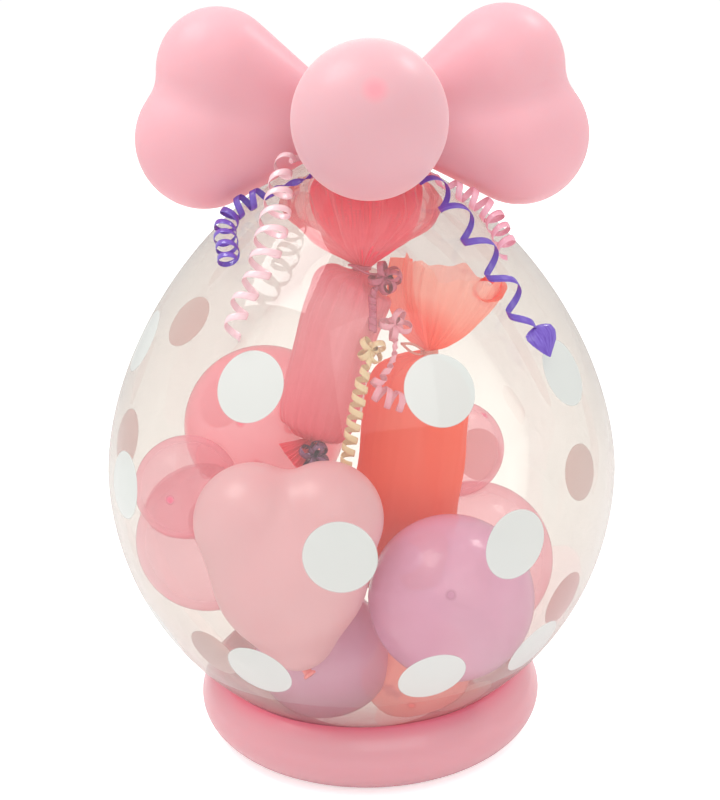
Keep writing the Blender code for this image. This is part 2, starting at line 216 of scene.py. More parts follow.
def evenly(points, count):
    """The same line with count points at equal distances."""
    run = run_of(points[:, :3])
    even = np.linspace(0.0, run[-1], count)
    return np.stack([np.interp(even, run, points[:, k]) for k in range(points.shape[1])], axis=1)


def eased(line, times):
    """The line with each point drawn towards the middle of its neighbours, over and over, so
    that no bend is sharp."""
    line = line.copy()
    for _ in range(times):
        line[1:-1] = (line[:-2] + 2.0 * line[1:-1] + line[2:]) / 4.0
    return line


def add_piece(name, points, faces, corners, material):
    """A mesh object at the origin from points, faces and the UV of each face's corners."""
    mesh = bpy.data.meshes.new(name)
    mesh.from_pydata(points, [], faces)
    layer = mesh.uv_layers.new(name="surface")
    layer.data.foreach_set("uv", np.asarray(corners, dtype=np.float32).ravel())
    mesh.shade_smooth()
    mesh.update()
    mesh.materials.append(material)
    thing = bpy.data.objects.new(name, mesh)
    bpy.context.scene.collection.objects.link(thing)
    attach(thing, "root")
    return thing


def grid_faces(rows, columns, wrap, loop, start, end):
    """Faces and corner UVs of a grid of rows by columns of points.

    wrap joins the last column to the first and loop the last row to the first. start and end
    are the numbers of points that close the first and the last row, or None.
    """
    i = np.arange(rows if loop else rows - 1)
    j = np.arange(columns if wrap else columns - 1)
    i, j = (a.ravel() for a in np.meshgrid(i, j, indexing="ij"))
    here, there = i * columns, ((i + 1) % rows) * columns
    k = (j + 1) % columns
    quads = np.stack([here + j, here + k, there + k, there + j], axis=1)
    across = j.max() + 1.0
    down = float(rows if loop else rows - 1)
    u = np.stack([j, j + 1, j + 1, j], axis=1) / across
    v = np.stack([i, i, i + 1, i + 1], axis=1) / down
    faces = quads.tolist()
    corners = [np.stack([u, v], axis=2).reshape(-1, 2)]
    ring = np.arange(columns)
    after = (ring + 1) % columns
    for pole, row, share in ((start, 0, 0.0), (end, rows - 1, 1.0)):
        if pole is None:
            continue
        first, second = (after, ring) if row == 0 else (ring, after)
        fan = np.stack([row * columns + first, row * columns + second,
                        np.full(columns, pole)], axis=1)
        faces += fan.tolist()
        corners.append(np.stack([
            np.stack([first / columns, second / columns, (ring + 0.5) / columns], axis=1),
            np.full((columns, 3), share)], axis=2).reshape(-1, 2))
    return faces, np.concatenate(corners)


def outwards(thing):
    """Turns the faces of a closed mesh outwards."""
    body = bmesh.new()
    body.from_mesh(thing.data)
    bmesh.ops.recalc_face_normals(body, faces=body.faces)
    body.to_mesh(thing.data)
    body.free()
    return thing


def skin(name, grid, material, wrap=True, loop=False, poles=False, closed=True):
    """A surface over a grid of points, with a point over each end where poles is set."""
    rows, columns, _ = grid.shape
    points = grid.reshape(-1, 3)
    start = end = None
    if poles:
        ends = np.stack([grid[0].mean(axis=0), grid[-1].mean(axis=0)])
        start, end = len(points), len(points) + 1
        points = np.vstack([points, ends])
    faces, corners = grid_faces(rows, columns, wrap, loop, start, end)
    thing = add_piece(name, points, faces, corners, material)
    return outwards(thing) if closed else thing


def stands_for(node):
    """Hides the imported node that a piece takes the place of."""
    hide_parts(node)


def turned(profile, steps):
    """A profile of (radius, height) rows turned about the Z axis."""
    turn = np.arange(steps) * 2.0 * math.pi / steps
    radius, height = np.array(profile, dtype=float).T
    return np.stack([
        radius[:, None] * np.cos(turn), radius[:, None] * np.sin(turn),
        np.broadcast_to(height[:, None], (len(radius), steps))], axis=2)


def placed(grid, centre, axis):
    """A grid turned so that its Z axis points along axis, and moved to centre."""
    turn = Vector((0.0, 0.0, 1.0)).rotation_difference(Vector(axis)).to_matrix()
    return grid @ np.array(turn).T + np.array(centre)


def tube(name, route, radius, material, sides=12, reference=(0.0, 0.0, 1.0)):
    """A closed round tube: a circle carried along the route, with a radius for each point."""
    ahead = unit(np.gradient(route, axis=0))
    side = unit(np.cross(ahead, np.array(reference) + 1e-6))
    rise = np.cross(side, ahead)
    turn = np.arange(sides) * 2.0 * math.pi / sides
    radius = np.broadcast_to(radius, len(route))
    ring = (np.cos(turn)[None, :, None] * side[:, None]
            + np.sin(turn)[None, :, None] * rise[:, None])
    return skin(name, route[:, None] + ring * radius[:, None, None], material, poles=True)


# ---------------------------------------------------------------- materials

def add_node(tree, kind, inputs=None, **settings):
    """A node with its settings, and with values or links on its inputs."""
    node = tree.nodes.new(kind)
    for key, value in settings.items():
        setattr(node, key, value)
    for key, value in (inputs or {}).items():
        socket = node.inputs[key]
        if isinstance(value, bpy.types.NodeSocket):
            tree.links.new(value, socket)
        elif isinstance(value, (tuple, list)) and len(value) == 3 and socket.type == "RGBA":
            socket.default_value = (*value, 1.0)
        else:
            socket.default_value = value
    return node


def calc(tree, operation, *values, clamp=False):
    """The result of a Math node."""
    return add_node(tree, "ShaderNodeMath", dict(enumerate(values)), operation=operation,
                    use_clamp=clamp).outputs[0]


def vector_calc(tree, operation, *values, output="Vector"):
    """The result of a Vector Math node."""
    return add_node(tree, "ShaderNodeVectorMath", dict(enumerate(values)),
                    operation=operation).outputs[output]


def blend_colour(tree, share, first, second, mode="MIX"):
    """The result of mixing two colours."""
    return add_node(tree, "ShaderNodeMix", {0: share, 6: first, 7: second}, data_type="RGBA",
                    blend_type=mode).outputs[2]


def place_on_piece(tree):
    return add_node(tree, "ShaderNodeTexCoord").outputs["Object"]


def surface_layer(tree):
    """The piece's own UV map, across and along its surface."""
    return add_node(tree, "ShaderNodeUVMap", uv_map="surface").outputs["UV"]


def noise(tree, place, scale, detail):
    return add_node(tree, "ShaderNodeTexNoise", {
        "Vector": place, "Scale": scale, "Detail": detail}).outputs[0]


def edge_share(tree, power=1.0):
    """How far the surface is seen edge on, from 0 to 1, to a power."""
    edge = add_node(tree, "ShaderNodeLayerWeight", {"Blend": 0.5}).outputs["Facing"]
    return calc(tree, "POWER", edge, power)


def bump(tree, height, strength, distance):
    return add_node(tree, "ShaderNodeBump", {
        "Height": height, "Strength": strength, "Distance": distance}).outputs["Normal"]


def principled(tree, inputs):
    return add_node(tree, "ShaderNodeBsdfPrincipled", inputs).outputs[0]


def see_through(tree, tint):
    return add_node(tree, "ShaderNodeBsdfTransparent", {"Color": tint}).outputs[0]


def mix_shaders(tree, share, first, second):
    return add_node(tree, "ShaderNodeMixShader", {0: share, 1: first, 2: second}).outputs[0]


def new_group(name, inputs, outputs):
    """An empty node group with named sockets, and its input and output nodes."""
    tree = bpy.data.node_groups.new(name, "ShaderNodeTree")
    for way, sockets in (("INPUT", inputs), ("OUTPUT", outputs)):
        for label, kind, *value in sockets:
            socket = tree.interface.new_socket(
                name=label, in_out=way, socket_type="NodeSocket" + kind)
            if value:
                socket.default_value = value[0]
    return tree, tree.nodes.new("NodeGroupInput"), tree.nodes.new("NodeGroupOutput")


def group_node(tree, name, inputs):
    return add_node(tree, "ShaderNodeGroup", inputs, node_tree=bpy.data.node_groups[name])


def build_groups():
    """Node groups for the effects that several finishes share."""
    # Slow change of tone in stretched latex, and its fine skin
    tree, source, result = new_group(
        "latex_tone",
        [("Colour", "Color"), ("Deep Colour", "Color"), ("Depth", "Float", 0.3)],
        [("Colour", "Color"), ("Roughness", "Float"), ("Height", "Float")])
    place = place_on_piece(tree)
    slow, fine = noise(tree, place, 9.0, 2.0), noise(tree, place, 420.0, 2.0)
    share = calc(tree, "MULTIPLY", slow, source.outputs["Depth"])
    tone = blend_colour(tree, share, source.outputs["Colour"], source.outputs["Deep Colour"])
    rough = calc(tree, "MULTIPLY_ADD", fine, 0.08, 0.38)
    for label, value in (("Colour", tone), ("Roughness", rough), ("Height", fine)):
        tree.links.new(value, result.inputs[label])

    # A round mark with a soft edge: distance from a place on the piece
    tree, source, result = new_group(
        "round_mark",
        [("Place", "Vector"), ("Radius", "Float", 0.01), ("Softness", "Float", 0.001)],
        [("Mask", "Float")])
    away = vector_calc(tree, "DISTANCE", place_on_piece(tree), source.outputs["Place"],
                       output="Value")
    short = calc(tree, "SUBTRACT", source.outputs["Radius"], away)
    mask = calc(tree, "DIVIDE", short, source.outputs["Softness"])
    mask = calc(tree, "ADD", mask, 0.5, clamp=True)
    tree.links.new(mask, result.inputs["Mask"])

    # Threads of a net or a woven film, from the piece's own UV map
    tree, source, result = new_group(
        "threads", [("Across", "Float", 200.0), ("Along", "Float", 200.0)],
        [("Mask", "Float")])
    parts = add_node(tree, "ShaderNodeSeparateXYZ", {0: surface_layer(tree)})
    waves = []
    for axis, count in (("X", "Across"), ("Y", "Along")):
        turn = calc(tree, "MULTIPLY", parts.outputs[axis], source.outputs[count])
        turn = calc(tree, "MULTIPLY", turn, 2.0 * math.pi)
        waves.append(calc(tree, "MULTIPLY_ADD", calc(tree, "COSINE", turn), 0.5, 0.5))
    tree.links.new(calc(tree, "MAXIMUM", *waves), result.inputs["Mask"])


def finish(name):
    """A new material and its empty tree."""
    material = bpy.data.materials.new(name)
    material.use_nodes = True
    material.node_tree.nodes.clear()
    return material, material.node_tree


def put_out(tree, shader):
    add_node(tree, "ShaderNodeOutputMaterial", {"Surface": shader})


def round_marks(tree, marks):
    """The mask of each mark: its place, radius and softness."""
    return [group_node(tree, "round_mark", dict(zip(("Place", "Radius", "Softness"), mark)))
            .outputs["Mask"] for mark in marks]


def latex(name, tone, deep, depth=0.35, coat=0.15, blur=0.2, soft=0.45, shine=0.5, painted_rim=None,
          marks=(), mark_colour=None, crease_shade=None):
    """Opaque stretched latex: slow tone, soft light through it, a clear gloss, round marks, and a
    painted glow of its own that stands in for light going round inside it. rim is the colour that
    it takes seen edge on, a painted sheen. crease is a place, the shares that stretch space there
    to a ball, its radius, the reach over which the colour fades out round it, and the colour of
    the painted shade in that crease. blur is the roughness of the coat."""
    material, tree = finish(name)
    skin_tone = group_node(tree, "latex_tone", {
        "Colour": tone, "Deep Colour": deep, "Depth": depth})
    base = skin_tone.outputs["Colour"]
    for mask in round_marks(tree, marks):
        base = blend_colour(tree, mask, base, mark_colour)
    # Painted sheen: the colour turns to the rim colour where the surface is seen edge on
    if painted_rim:
        base = blend_colour(tree, edge_share(tree, 4.5), base, painted_rim)
    # Painted shade: the colour deepens towards the crease where another piece presses in
    if crease_shade:
        centre, stretch, radius, reach, fold = crease_shade
        place = vector_calc(tree, "SUBTRACT", place_on_piece(tree), centre)
        place = vector_calc(tree, "MULTIPLY", place, stretch)
        away = vector_calc(tree, "LENGTH", place, output="Value")
        near = calc(tree, "SUBTRACT", radius + reach, away)
        near = calc(tree, "DIVIDE", near, reach, clamp=True)
        base = blend_colour(tree, calc(tree, "POWER", near, 1.5), base, fold)
    # Painted glow: the latex gives off a little light of its own, halfway to the deep colour,
    # standing in for light that goes round inside it and lifts its shade
    painted_glow = blend_colour(tree, 0.5, base, deep)
    put_out(tree, principled(tree, {
        "Base Color": base, "Roughness": skin_tone.outputs["Roughness"],
        "Normal": bump(tree, skin_tone.outputs["Height"], 0.04, 0.0004),
        "Subsurface Weight": soft, "Subsurface Radius": (1.0, 0.35, 0.28),
        "Subsurface Scale": 0.03, "Specular IOR Level": shine, "Coat Weight": coat,
        "Coat Roughness": blur, "Emission Color": painted_glow, "Emission Strength": 0.10}))
    return material


def clear_latex(name, tone, deep, least, most, painted_glow, marks, mark_colour):
    """See-through latex: a tinted clear shader under a latex one, denser where it is seen
    edge on. least and most are its cover face on and edge on, and glow is the strength of a
    painted glow in its own colour, standing in for light that goes round inside it."""
    material, tree = finish(name)
    skin_tone = group_node(tree, "latex_tone", {
        "Colour": tone, "Deep Colour": deep, "Depth": 0.4})
    edge = edge_share(tree, 2.2)
    cover = calc(tree, "MULTIPLY_ADD", edge, most - least, least, clamp=True)
    base = blend_colour(tree, edge, skin_tone.outputs["Colour"], deep)
    for mask in round_marks(tree, marks):
        base = blend_colour(tree, mask, base, mark_colour)
        cover = calc(tree, "MAXIMUM", cover, calc(tree, "MULTIPLY", mask, 0.85))
    # Its emission is a painted glow that lifts the balloon where it lies in shade
    shader = principled(tree, {
        "Base Color": base, "Roughness": skin_tone.outputs["Roughness"],
        "Coat Weight": 1.0, "Coat Roughness": 0.05,
        "Emission Color": base, "Emission Strength": painted_glow})
    tint = tuple(1.0 - (0.28 + 0.3 * least) * (1.0 - c) for c in tone)
    put_out(tree, mix_shaders(tree, cover, see_through(tree, tint), shader))
    return material


def ribbon_finish(name, tone, shade, gloss=0.22, metallic=0.0):
    """Glossy curling ribbon: fine ridges along it and a tone that changes along its length."""
    material, tree = finish(name)
    grain = add_node(tree, "ShaderNodeMapping", {
        "Vector": surface_layer(tree), "Scale": (60.0, 3.0, 1.0)}).outputs[0]
    lines = noise(tree, grain, 1.0, 3.0)
    share = calc(tree, "MULTIPLY_ADD", lines, 1.6, -0.35, clamp=True)
    put_out(tree, principled(tree, {
        "Base Color": blend_colour(tree, share, shade, tone),
        "Roughness": calc(tree, "MULTIPLY_ADD", lines, 0.15, gloss - 0.05),
        "Normal": bump(tree, lines, 0.15, 0.0002), "Metallic": metallic,
        "Coat Weight": 0.5, "Coat Roughness": 0.08}))
    return material


def film_finish(dots, radius, tint, ink):
    """Clear film with printed dots. The ink covers where the nearest dot's centre is nearer than
    its radius; the film is hazier seen edge on, and mirrors as its Fresnel share says."""
    material, tree = finish("dotted_film")
    place = place_on_piece(tree)
    nearest = None
    for centre in dots:
        away = vector_calc(tree, "DISTANCE", place, tuple(centre), output="Value")
        nearest = away if nearest is None else calc(tree, "MINIMUM", nearest, away)
    mask = calc(tree, "SUBTRACT", radius, nearest)
    mask = calc(tree, "MULTIPLY_ADD", mask, DOT_SHARPNESS, 0.5, clamp=True)
    # Streaks along the meridians: noise over the turn about the axis, hardly over the height
    parts = add_node(tree, "ShaderNodeSeparateXYZ", {0: place})
    around = calc(tree, "ARCTAN2", parts.outputs["Y"], parts.outputs["X"])
    streak = add_node(tree, "ShaderNodeCombineXYZ", {
        0: calc(tree, "MULTIPLY", around, 5.0),
        1: calc(tree, "MULTIPLY", parts.outputs["Z"], 4.0)}).outputs[0]
    edge = edge_share(tree, 3.5)
    haze = calc(tree, "MULTIPLY_ADD", edge, 0.42, 0.04)
    haze = calc(tree, "MULTIPLY_ADD", noise(tree, streak, 1.0, 3.0), 0.14, haze, clamp=True)
    skin_shader = principled(tree, {
        "Base Color": blend_colour(tree, edge, tint, tuple(0.72 * c for c in tint)),
        "Roughness": 0.3})
    clear = mix_shaders(tree, haze, see_through(tree, (0.838, 0.816, 0.782)), skin_shader)
    behind = add_node(tree, "ShaderNodeNewGeometry").outputs["Backfacing"]
    print_shader = principled(tree, {
        "Base Color": blend_colour(tree, behind, ink, from_screen(238, 222, 212)),
        "Roughness": 0.45})
    printed = mix_shaders(tree, calc(tree, "MULTIPLY", mask, 0.96), clear, print_shader)
    mirror = add_node(tree, "ShaderNodeBsdfGlossy", {"Roughness": 0.03}).outputs[0]
    share = add_node(tree, "ShaderNodeFresnel", {"IOR": 1.45}).outputs[0]
    mixed = mix_shaders(tree, calc(tree, "MINIMUM", share, 0.35), printed, mirror)
    # Light that only passes on its way to what is inside isn't held back
    ray = add_node(tree, "ShaderNodeLightPath")
    passing = calc(tree, "MAXIMUM", ray.outputs["Is Shadow Ray"], ray.outputs["Is Diffuse Ray"])
    put_out(tree, mix_shaders(tree, passing, mixed, see_through(tree, (0.97, 0.96, 0.95))))
    return material


def wrap_finish(name, stops, across, along, marks=(), mark_colour=None):
    """Soft net or film round a gift, partly open, with faint threads both ways. Each stop holds
    a share of the wrap's length, the colour there and how much of it covers."""
    material, tree = finish(name)
    down = add_node(tree, "ShaderNodeSeparateXYZ", {0: surface_layer(tree)}).outputs["Y"]
    ramps = []
    for kind in ("tone", "cover"):
        ramp = add_node(tree, "ShaderNodeValToRGB", {0: down})
        for share, *_ in stops[:-2]:
            ramp.color_ramp.elements.new(share)
        for element, (share, tone, cover) in zip(ramp.color_ramp.elements, stops):
            element.position = share
            element.color = (*tone, 1.0) if kind == "tone" else (cover, cover, cover, 1.0)
        ramps.append(ramp.outputs["Color"])
    base, cover = ramps
    threads = group_node(tree, "threads", {"Across": across, "Along": along}).outputs["Mask"]
    place = place_on_piece(tree)
    share = calc(tree, "MULTIPLY_ADD", noise(tree, place, 38.0, 3.0), 0.40, -0.20)
    share = calc(tree, "MULTIPLY_ADD", noise(tree, place, 700.0, 1.0), 0.30, share)
    share = calc(tree, "MULTIPLY_ADD", threads, -0.06, share, clamp=True)
    for mask in round_marks(tree, marks):
        base = blend_colour(tree, mask, base, mark_colour)
    base = blend_colour(tree, share, base, base, mode="MULTIPLY")
    cover = calc(tree, "MULTIPLY_ADD", threads, 0.05, cover)
    cover = calc(tree, "MULTIPLY_ADD", edge_share(tree), 0.25, cover, clamp=True)
    # Its emission in its own colour is a painted glow, as if the wrap were lit through from behind
    shader = principled(tree, {
        "Base Color": base, "Roughness": 0.6, "Normal": bump(tree, threads, 0.06, 0.0003),
        "Sheen Weight": 0.15, "Sheen Roughness": 0.4,
        "Emission Color": base, "Emission Strength": 0.17})
    tint = tuple(0.6 + 0.4 * c for c in stops[0][1])
    put_out(tree, mix_shaders(tree, cover, see_through(tree, tint), shader))
    return material


# ---------------------------------------------------------------- bubble

def bubble_centre_height(sizes):
    ring_top = 2.0 * sizes.ring_half_height - RING_FLATTENED
    share = sizes.ring_radius / sizes.bubble_radius
    return ring_top - SEAT_DEPTH + sizes.bubble_depth * math.sqrt(1.0 - share ** 2)


def shoulder_radius(sizes, share):
    """Radius at a share of the rise: full circle less a power of the share, to a power."""
    full = (1.0 - share ** SHOULDER_POWER) ** SHOULDER_FLARE
    return NECK_RADIUS + (sizes.bubble_radius - NECK_RADIUS) * full


def shoulder_frames(sizes, azimuth, reach):
    """Points on the shoulder and the outward normals there, for arrays of azimuth and reach."""
    step = 0.0005
    centre = bubble_centre_height(sizes)

    def height(radius):
        full = (radius - NECK_RADIUS) / (sizes.bubble_radius - NECK_RADIUS)
        share = (1.0 - full ** (1.0 / SHOULDER_FLARE)) ** (1.0 / SHOULDER_POWER)
        return centre + sizes.bubble_rise * share

    low, high = height(reach + step), height(reach - step)
    across = np.stack([np.sin(azimuth), -np.cos(azimuth), np.zeros_like(azimuth)], axis=1)
    slope = unit(np.stack([high - low, np.full_like(reach, 2.0 * step)], axis=1))
    points = across * reach[:, None]
    points[:, 2] = (low + high) / 2.0
    normals = across * slope[:, :1]
    normals[:, 2] = slope[:, 1]
    return points, normals


def bubble_wall(sizes, levels=120):
    """Radius and height from the bottom to the neck: half an ellipse, then the shoulder."""
    centre = bubble_centre_height(sizes)
    angle = np.linspace(0.02, math.pi / 2.0, levels)
    below = np.stack([sizes.bubble_radius * np.sin(angle),
                      centre - sizes.bubble_depth * np.cos(angle)], axis=1)
    share = np.sin(np.linspace(0.0, math.pi / 2.0, levels)[1:])
    above = np.stack([shoulder_radius(sizes, share), centre + sizes.bubble_rise * share], axis=1)
    return np.vstack([below, above])


def bubble_profile(sizes):
    """The bubble's wall and then its gathered neck, up to the lip and in again."""
    neck = smooth_line([
        (NECK_RADIUS, 0.0), (NECK_GROOVE_RADIUS, 0.10), (NECK_GROOVE_RADIUS, 0.36),
        (NECK_RADIUS, 0.55), (NECK_LIP_RADIUS, 0.85), (NECK_LIP_RADIUS * 0.9, 0.97),
        (NECK_GROOVE_RADIUS * 0.8, 0.99), (NECK_GROOVE_RADIUS * 0.5, 0.85)], 4)[1:]
    top = bubble_centre_height(sizes) + sizes.bubble_rise
    neck[:, 1] = top + neck[:, 1] * NECK_LENGTH
    return np.vstack([bubble_wall(sizes), neck])


def dot_places(sizes):
    """The dots' centres on the bubble, where a ray from its centre leaves the wall."""
    radii, heights = bubble_wall(sizes).T
    centre = bubble_centre_height(sizes)
    azimuth, latitude = np.radians(np.array(DOTS)).T
    slope = np.arctan2(heights - centre, radii)
    radius = np.interp(latitude, slope, radii)
    height = np.interp(latitude, slope, heights)
    return np.stack([radius * np.sin(azimuth), -radius * np.cos(azimuth), height], axis=1)


def gathered(grid, sizes, pleats=26):
    """The film drawn together: the radius swings with the angle, more the nearer the neck."""
    reach = np.hypot(grid[..., 0], grid[..., 1])
    turn = np.arctan2(grid[..., 1], grid[..., 0])
    above = grid[..., 2] > bubble_centre_height(sizes)
    near = np.clip((0.052 - reach) / 0.044, 0.0, 1.0) ** 2 * above
    wave = np.cos(pleats * turn) + 0.5 * np.cos((pleats - 7) * turn + 1.3)
    swing = 1.0 + 0.075 * near * wave
    grid[..., 0] *= swing
    grid[..., 1] *= swing
    return grid


class BALLOON_OT_bubble(bpy.types.Operator):
    """Build the bubble's dotted film with its gathered neck"""

    bl_idname = "balloon.bubble"
    bl_label = "Bubble"

    def execute(self, context):
        sizes, colours = context.scene.balloon_sizes, context.scene.balloon_colours
        material = film_finish(
            dot_places(sizes), sizes.dot_radius, tuple(colours.film), tuple(colours.ink))
        grid = gathered(turned(bubble_profile(sizes), 320), sizes)
        film = skin("bubble_film", grid, material, poles=True)
        stands_for("bubble")
        return {"FINISHED"}


# ---------------------------------------------------------------- base ring

class BALLOON_OT_ring(bpy.types.Operator):
    """Build the tube balloon that the bubble sits in"""

    bl_idname = "balloon.ring"
    bl_label = "Base ring"

    def execute(self, context):
        sizes, colours = context.scene.balloon_sizes, context.scene.balloon_colours
        height = sizes.ring_half_height - RING_FLATTENED
        first = math.asin(-height / sizes.ring_half_height)
        turn = (np.arange(288) * 2.0 * math.pi / 288)[:, None]
        # Two thirds of the section goes round the tube, the rest over its flat underside
        around = np.linspace(first, math.pi - first, 57)[None, :]
        flat = np.linspace(math.pi - first, 2.0 * math.pi + first, 12)[1:-1][None, :]
        from_back = np.abs((turn - math.pi / 2.0 + math.pi) % (2.0 * math.pi) - math.pi)
        swell = np.clip(from_back / RING_JOINT_ANGLE, 0.0, 1.0)
        share = RING_JOINT_RADIUS_SHARE + (1.0 - RING_JOINT_RADIUS_SHARE) * np.sqrt(
            1.0 - (1.0 - swell) ** 2)
        edge = share * sizes.ring_half_width * math.cos(first)
        radius = np.concatenate([
            sizes.ring_radius + sizes.ring_half_width * share * np.cos(around),
            sizes.ring_radius + edge * np.cos(flat) / math.cos(first)], axis=1)
        level = np.concatenate([
            height + sizes.ring_half_height * share * np.sin(around),
            height - height * share * np.ones_like(flat)], axis=1)
        grid = np.stack([
            RING_OFFSET_X + radius * np.cos(turn), radius * np.sin(turn),
            np.broadcast_to(level, radius.shape)], axis=2)
        centre = np.array([0.0, 0.0, bubble_centre_height(sizes)])
        half = np.array([sizes.bubble_radius, sizes.bubble_radius, sizes.bubble_depth])
        offset = grid - centre
        depth = np.sqrt(((offset / (half + TOUCH_GAP)) ** 2).sum(axis=2, keepdims=True))
        grid = centre + offset / np.minimum(depth, 1.0)
        # The ring deepens to a painted shade in the crease where the bubble sits in it
        material = latex(
            "ring_latex", tuple(colours.ring), from_screen(232, 124, 142), depth=0.12, coat=0.6,
            blur=0.1, shine=0.4, crease_shade=(
                tuple(centre), (1.0, 1.0, half[0] / half[2]), half[0], 0.016,
                from_screen(206, 104, 124)))
        ring = skin("base_ring_tube", grid, material, loop=True)
        stands_for("base_ring")
        return {"FINISHED"}


# ---------------------------------------------------------------- bow

def cone_distance(points, start, end, start_radius, end_radius):
    """Distance to a cone with round ends, from start to end."""
    start, end = np.array(start, dtype=float), np.array(end, dtype=float)
    span = np.linalg.norm(end - start)
    ahead = (end - start) / span
    lean = (start_radius - end_radius) / span
    upright = math.sqrt(1.0 - lean * lean)
    offset = points - start
    run = offset @ ahead
    rise = np.linalg.norm(offset - run[..., None] * ahead, axis=-1)
    foot = np.clip(run - rise * lean / upright, 0.0, span)
    return np.hypot(run - foot, rise) - start_radius - (end_radius - start_radius) * foot / span


def blended(first, second, width):
    """Smaller of two distances, rounded over where they meet."""
    mix = np.clip(0.5 + 0.5 * (second - first) / width, 0.0, 1.0)
    return second * (1.0 - mix) + first * mix - width * mix * (1.0 - mix)


def heart_distance(points):
    """Distance to a heart of the bow: two cones from its tip to its lobes, rounded together."""
    first, second = (
        cone_distance(points, (0, 0, 0), centre, HEART_TIP_RADIUS, radius)
        for centre, radius in HEART_LOBES)
    return blended(first, second, LOBE_BLEND)


def inflated(distance, middle, reach, levels, steps):
    """Rows of points where rays from the middle meet distance 0, found by halving. The rays'
    poles lie along -Y and +Y."""
    tilt = (math.pi * (np.arange(levels) + 0.35) / (levels - 0.3))[:, None]
    turn = (np.arange(steps) * 2.0 * math.pi / steps)[None, :]
    rays = np.stack([
        np.sin(tilt) * np.cos(turn), np.broadcast_to(-np.cos(tilt), (levels, steps)),
        np.sin(tilt) * np.sin(turn)], axis=2)
    near, far = np.zeros((levels, steps)), np.full((levels, steps), reach)
    for _ in range(26):
        half = (near + far) / 2.0
        inside = distance(np.array(middle) + rays * half[..., None]) < 0.0
        near, far = np.where(inside, half, near), np.where(inside, far, half)
    return np.array(middle) + rays * near[..., None]


def balloon_tail(name, tip, end, radius, lip, material):
    """The knotted end of a balloon: a thin neck that opens to a rolled lip."""
    route = smooth_line([tip, (np.array(tip) * 0.45 + np.array(end) * 0.55), end], 12)
    share = np.linspace(0.0, 1.0, len(route))
    swell = radius * (1.0 + 0.8 * np.exp(-((share - 0.25) / 0.09) ** 2))
    swell = np.where(share > 0.72, np.interp(share, [0.72, 0.88, 1.0], [radius, lip, lip * 0.9]),
                     swell)
    return tube(name, route, swell, material, sides=20, reference=(0.3, 0.2, 1.0))


class BALLOON_OT_bow(bpy.types.Operator):
    """Build the bow: two hearts and a round balloon"""

    bl_idname = "balloon.bow"
    bl_label = "Bow"

    def execute(self, context):
        sizes, colours = context.scene.balloon_sizes, context.scene.balloon_colours
        heart_skin = latex(
            "heart_latex", tuple(colours.heart), from_screen(232, 142, 156), depth=0.3,
            coat=0.03, shine=0.25)
        for side, name in ((-1, "heart_left"), (1, "heart_right")):
            tip = np.array(HEART_TIPS[side])
            grid = inflated(heart_distance, HEART_MIDDLE, 0.17, 96, 160)
            heart = skin(name + "_skin", grid * np.array([side, 1.0, 1.0]) + tip, heart_skin,
                         poles=True)
            stands_for(name)
            beside = side * (NECK_LIP_RADIUS + HEART_LIP_RADIUS + TOUCH_GAP)
            tail = balloon_tail(
                name + "_tail", tip + np.array([side * 0.0028, 0.004, 0.0]),
                np.array([beside, tip[1] + 0.034, tip[2]]), 0.0026, HEART_LIP_RADIUS, heart_skin)
            stands_for(name)
        centre, tied = np.array(BALL_CENTRE), np.array(BALL_TIED_AT)
        axis = unit(tied - centre)
        spot = centre + sizes.ball_radius * unit(np.array([0.06, -0.92, 0.39]))
        # The round balloon's pale rim colour is a painted sheen
        ball_skin = latex(
            "ball_latex", tuple(colours.ball), from_screen(214, 146, 156), depth=0.3, coat=0.06,
            shine=0.3, painted_rim=from_screen(226, 198, 200), marks=[(tuple(spot), 0.0068, 0.008)],
            mark_colour=from_screen(222, 148, 158))
        angle = np.linspace(0.03, math.pi - 0.12, 90)
        body = np.stack([sizes.ball_radius * np.sin(angle),
                         -sizes.ball_radius * np.cos(angle)], axis=1)
        reach = float(np.linalg.norm(tied - centre))
        neck = smooth_line([
            tuple(body[-1]), (BALL_NECK_RADIUS * 1.4, sizes.ball_radius * 1.02),
            (BALL_NECK_RADIUS, sizes.ball_radius * 1.10),
            (BALL_NECK_RADIUS, reach - BALL_LIP_RADIUS * 1.2),
            (BALL_LIP_RADIUS, reach - BALL_LIP_RADIUS * 0.7),
            (BALL_LIP_RADIUS * 0.9, reach - BALL_LIP_RADIUS * 0.2),
            (BALL_NECK_RADIUS * 0.5, reach - TOUCH_GAP)], 6)[1:]
        ball = skin("ball_skin", placed(turned(np.vstack([body, neck]), 128), centre, axis),
                    ball_skin, poles=True)
        stands_for("ball_balloon")
        return {"FINISHED"}


# ---------------------------------------------------------------- ribbons

def curl(centre, radius, pitch, reference, start=0.0, hand=1.0):
    """A curl round a centre line, and the outward direction at each point: the point circles
    the line at the radius, one turn for each pitch of the line's length."""
    ahead = unit(np.gradient(centre, axis=0))
    side = unit(np.cross(ahead, reference))
    rise = np.cross(side, ahead)
    step = np.linalg.norm(np.diff(centre, axis=0), axis=1)
    pitch = np.broadcast_to(pitch, len(centre))
    turn = start + hand * 2.0 * math.pi * np.concatenate(
        [[0.0], np.cumsum(step / (0.5 * (pitch[1:] + pitch[:-1])))])
    out = np.cos(turn)[:, None] * side + np.sin(turn)[:, None] * rise
    return centre + np.broadcast_to(radius, len(centre))[:, None] * out, out


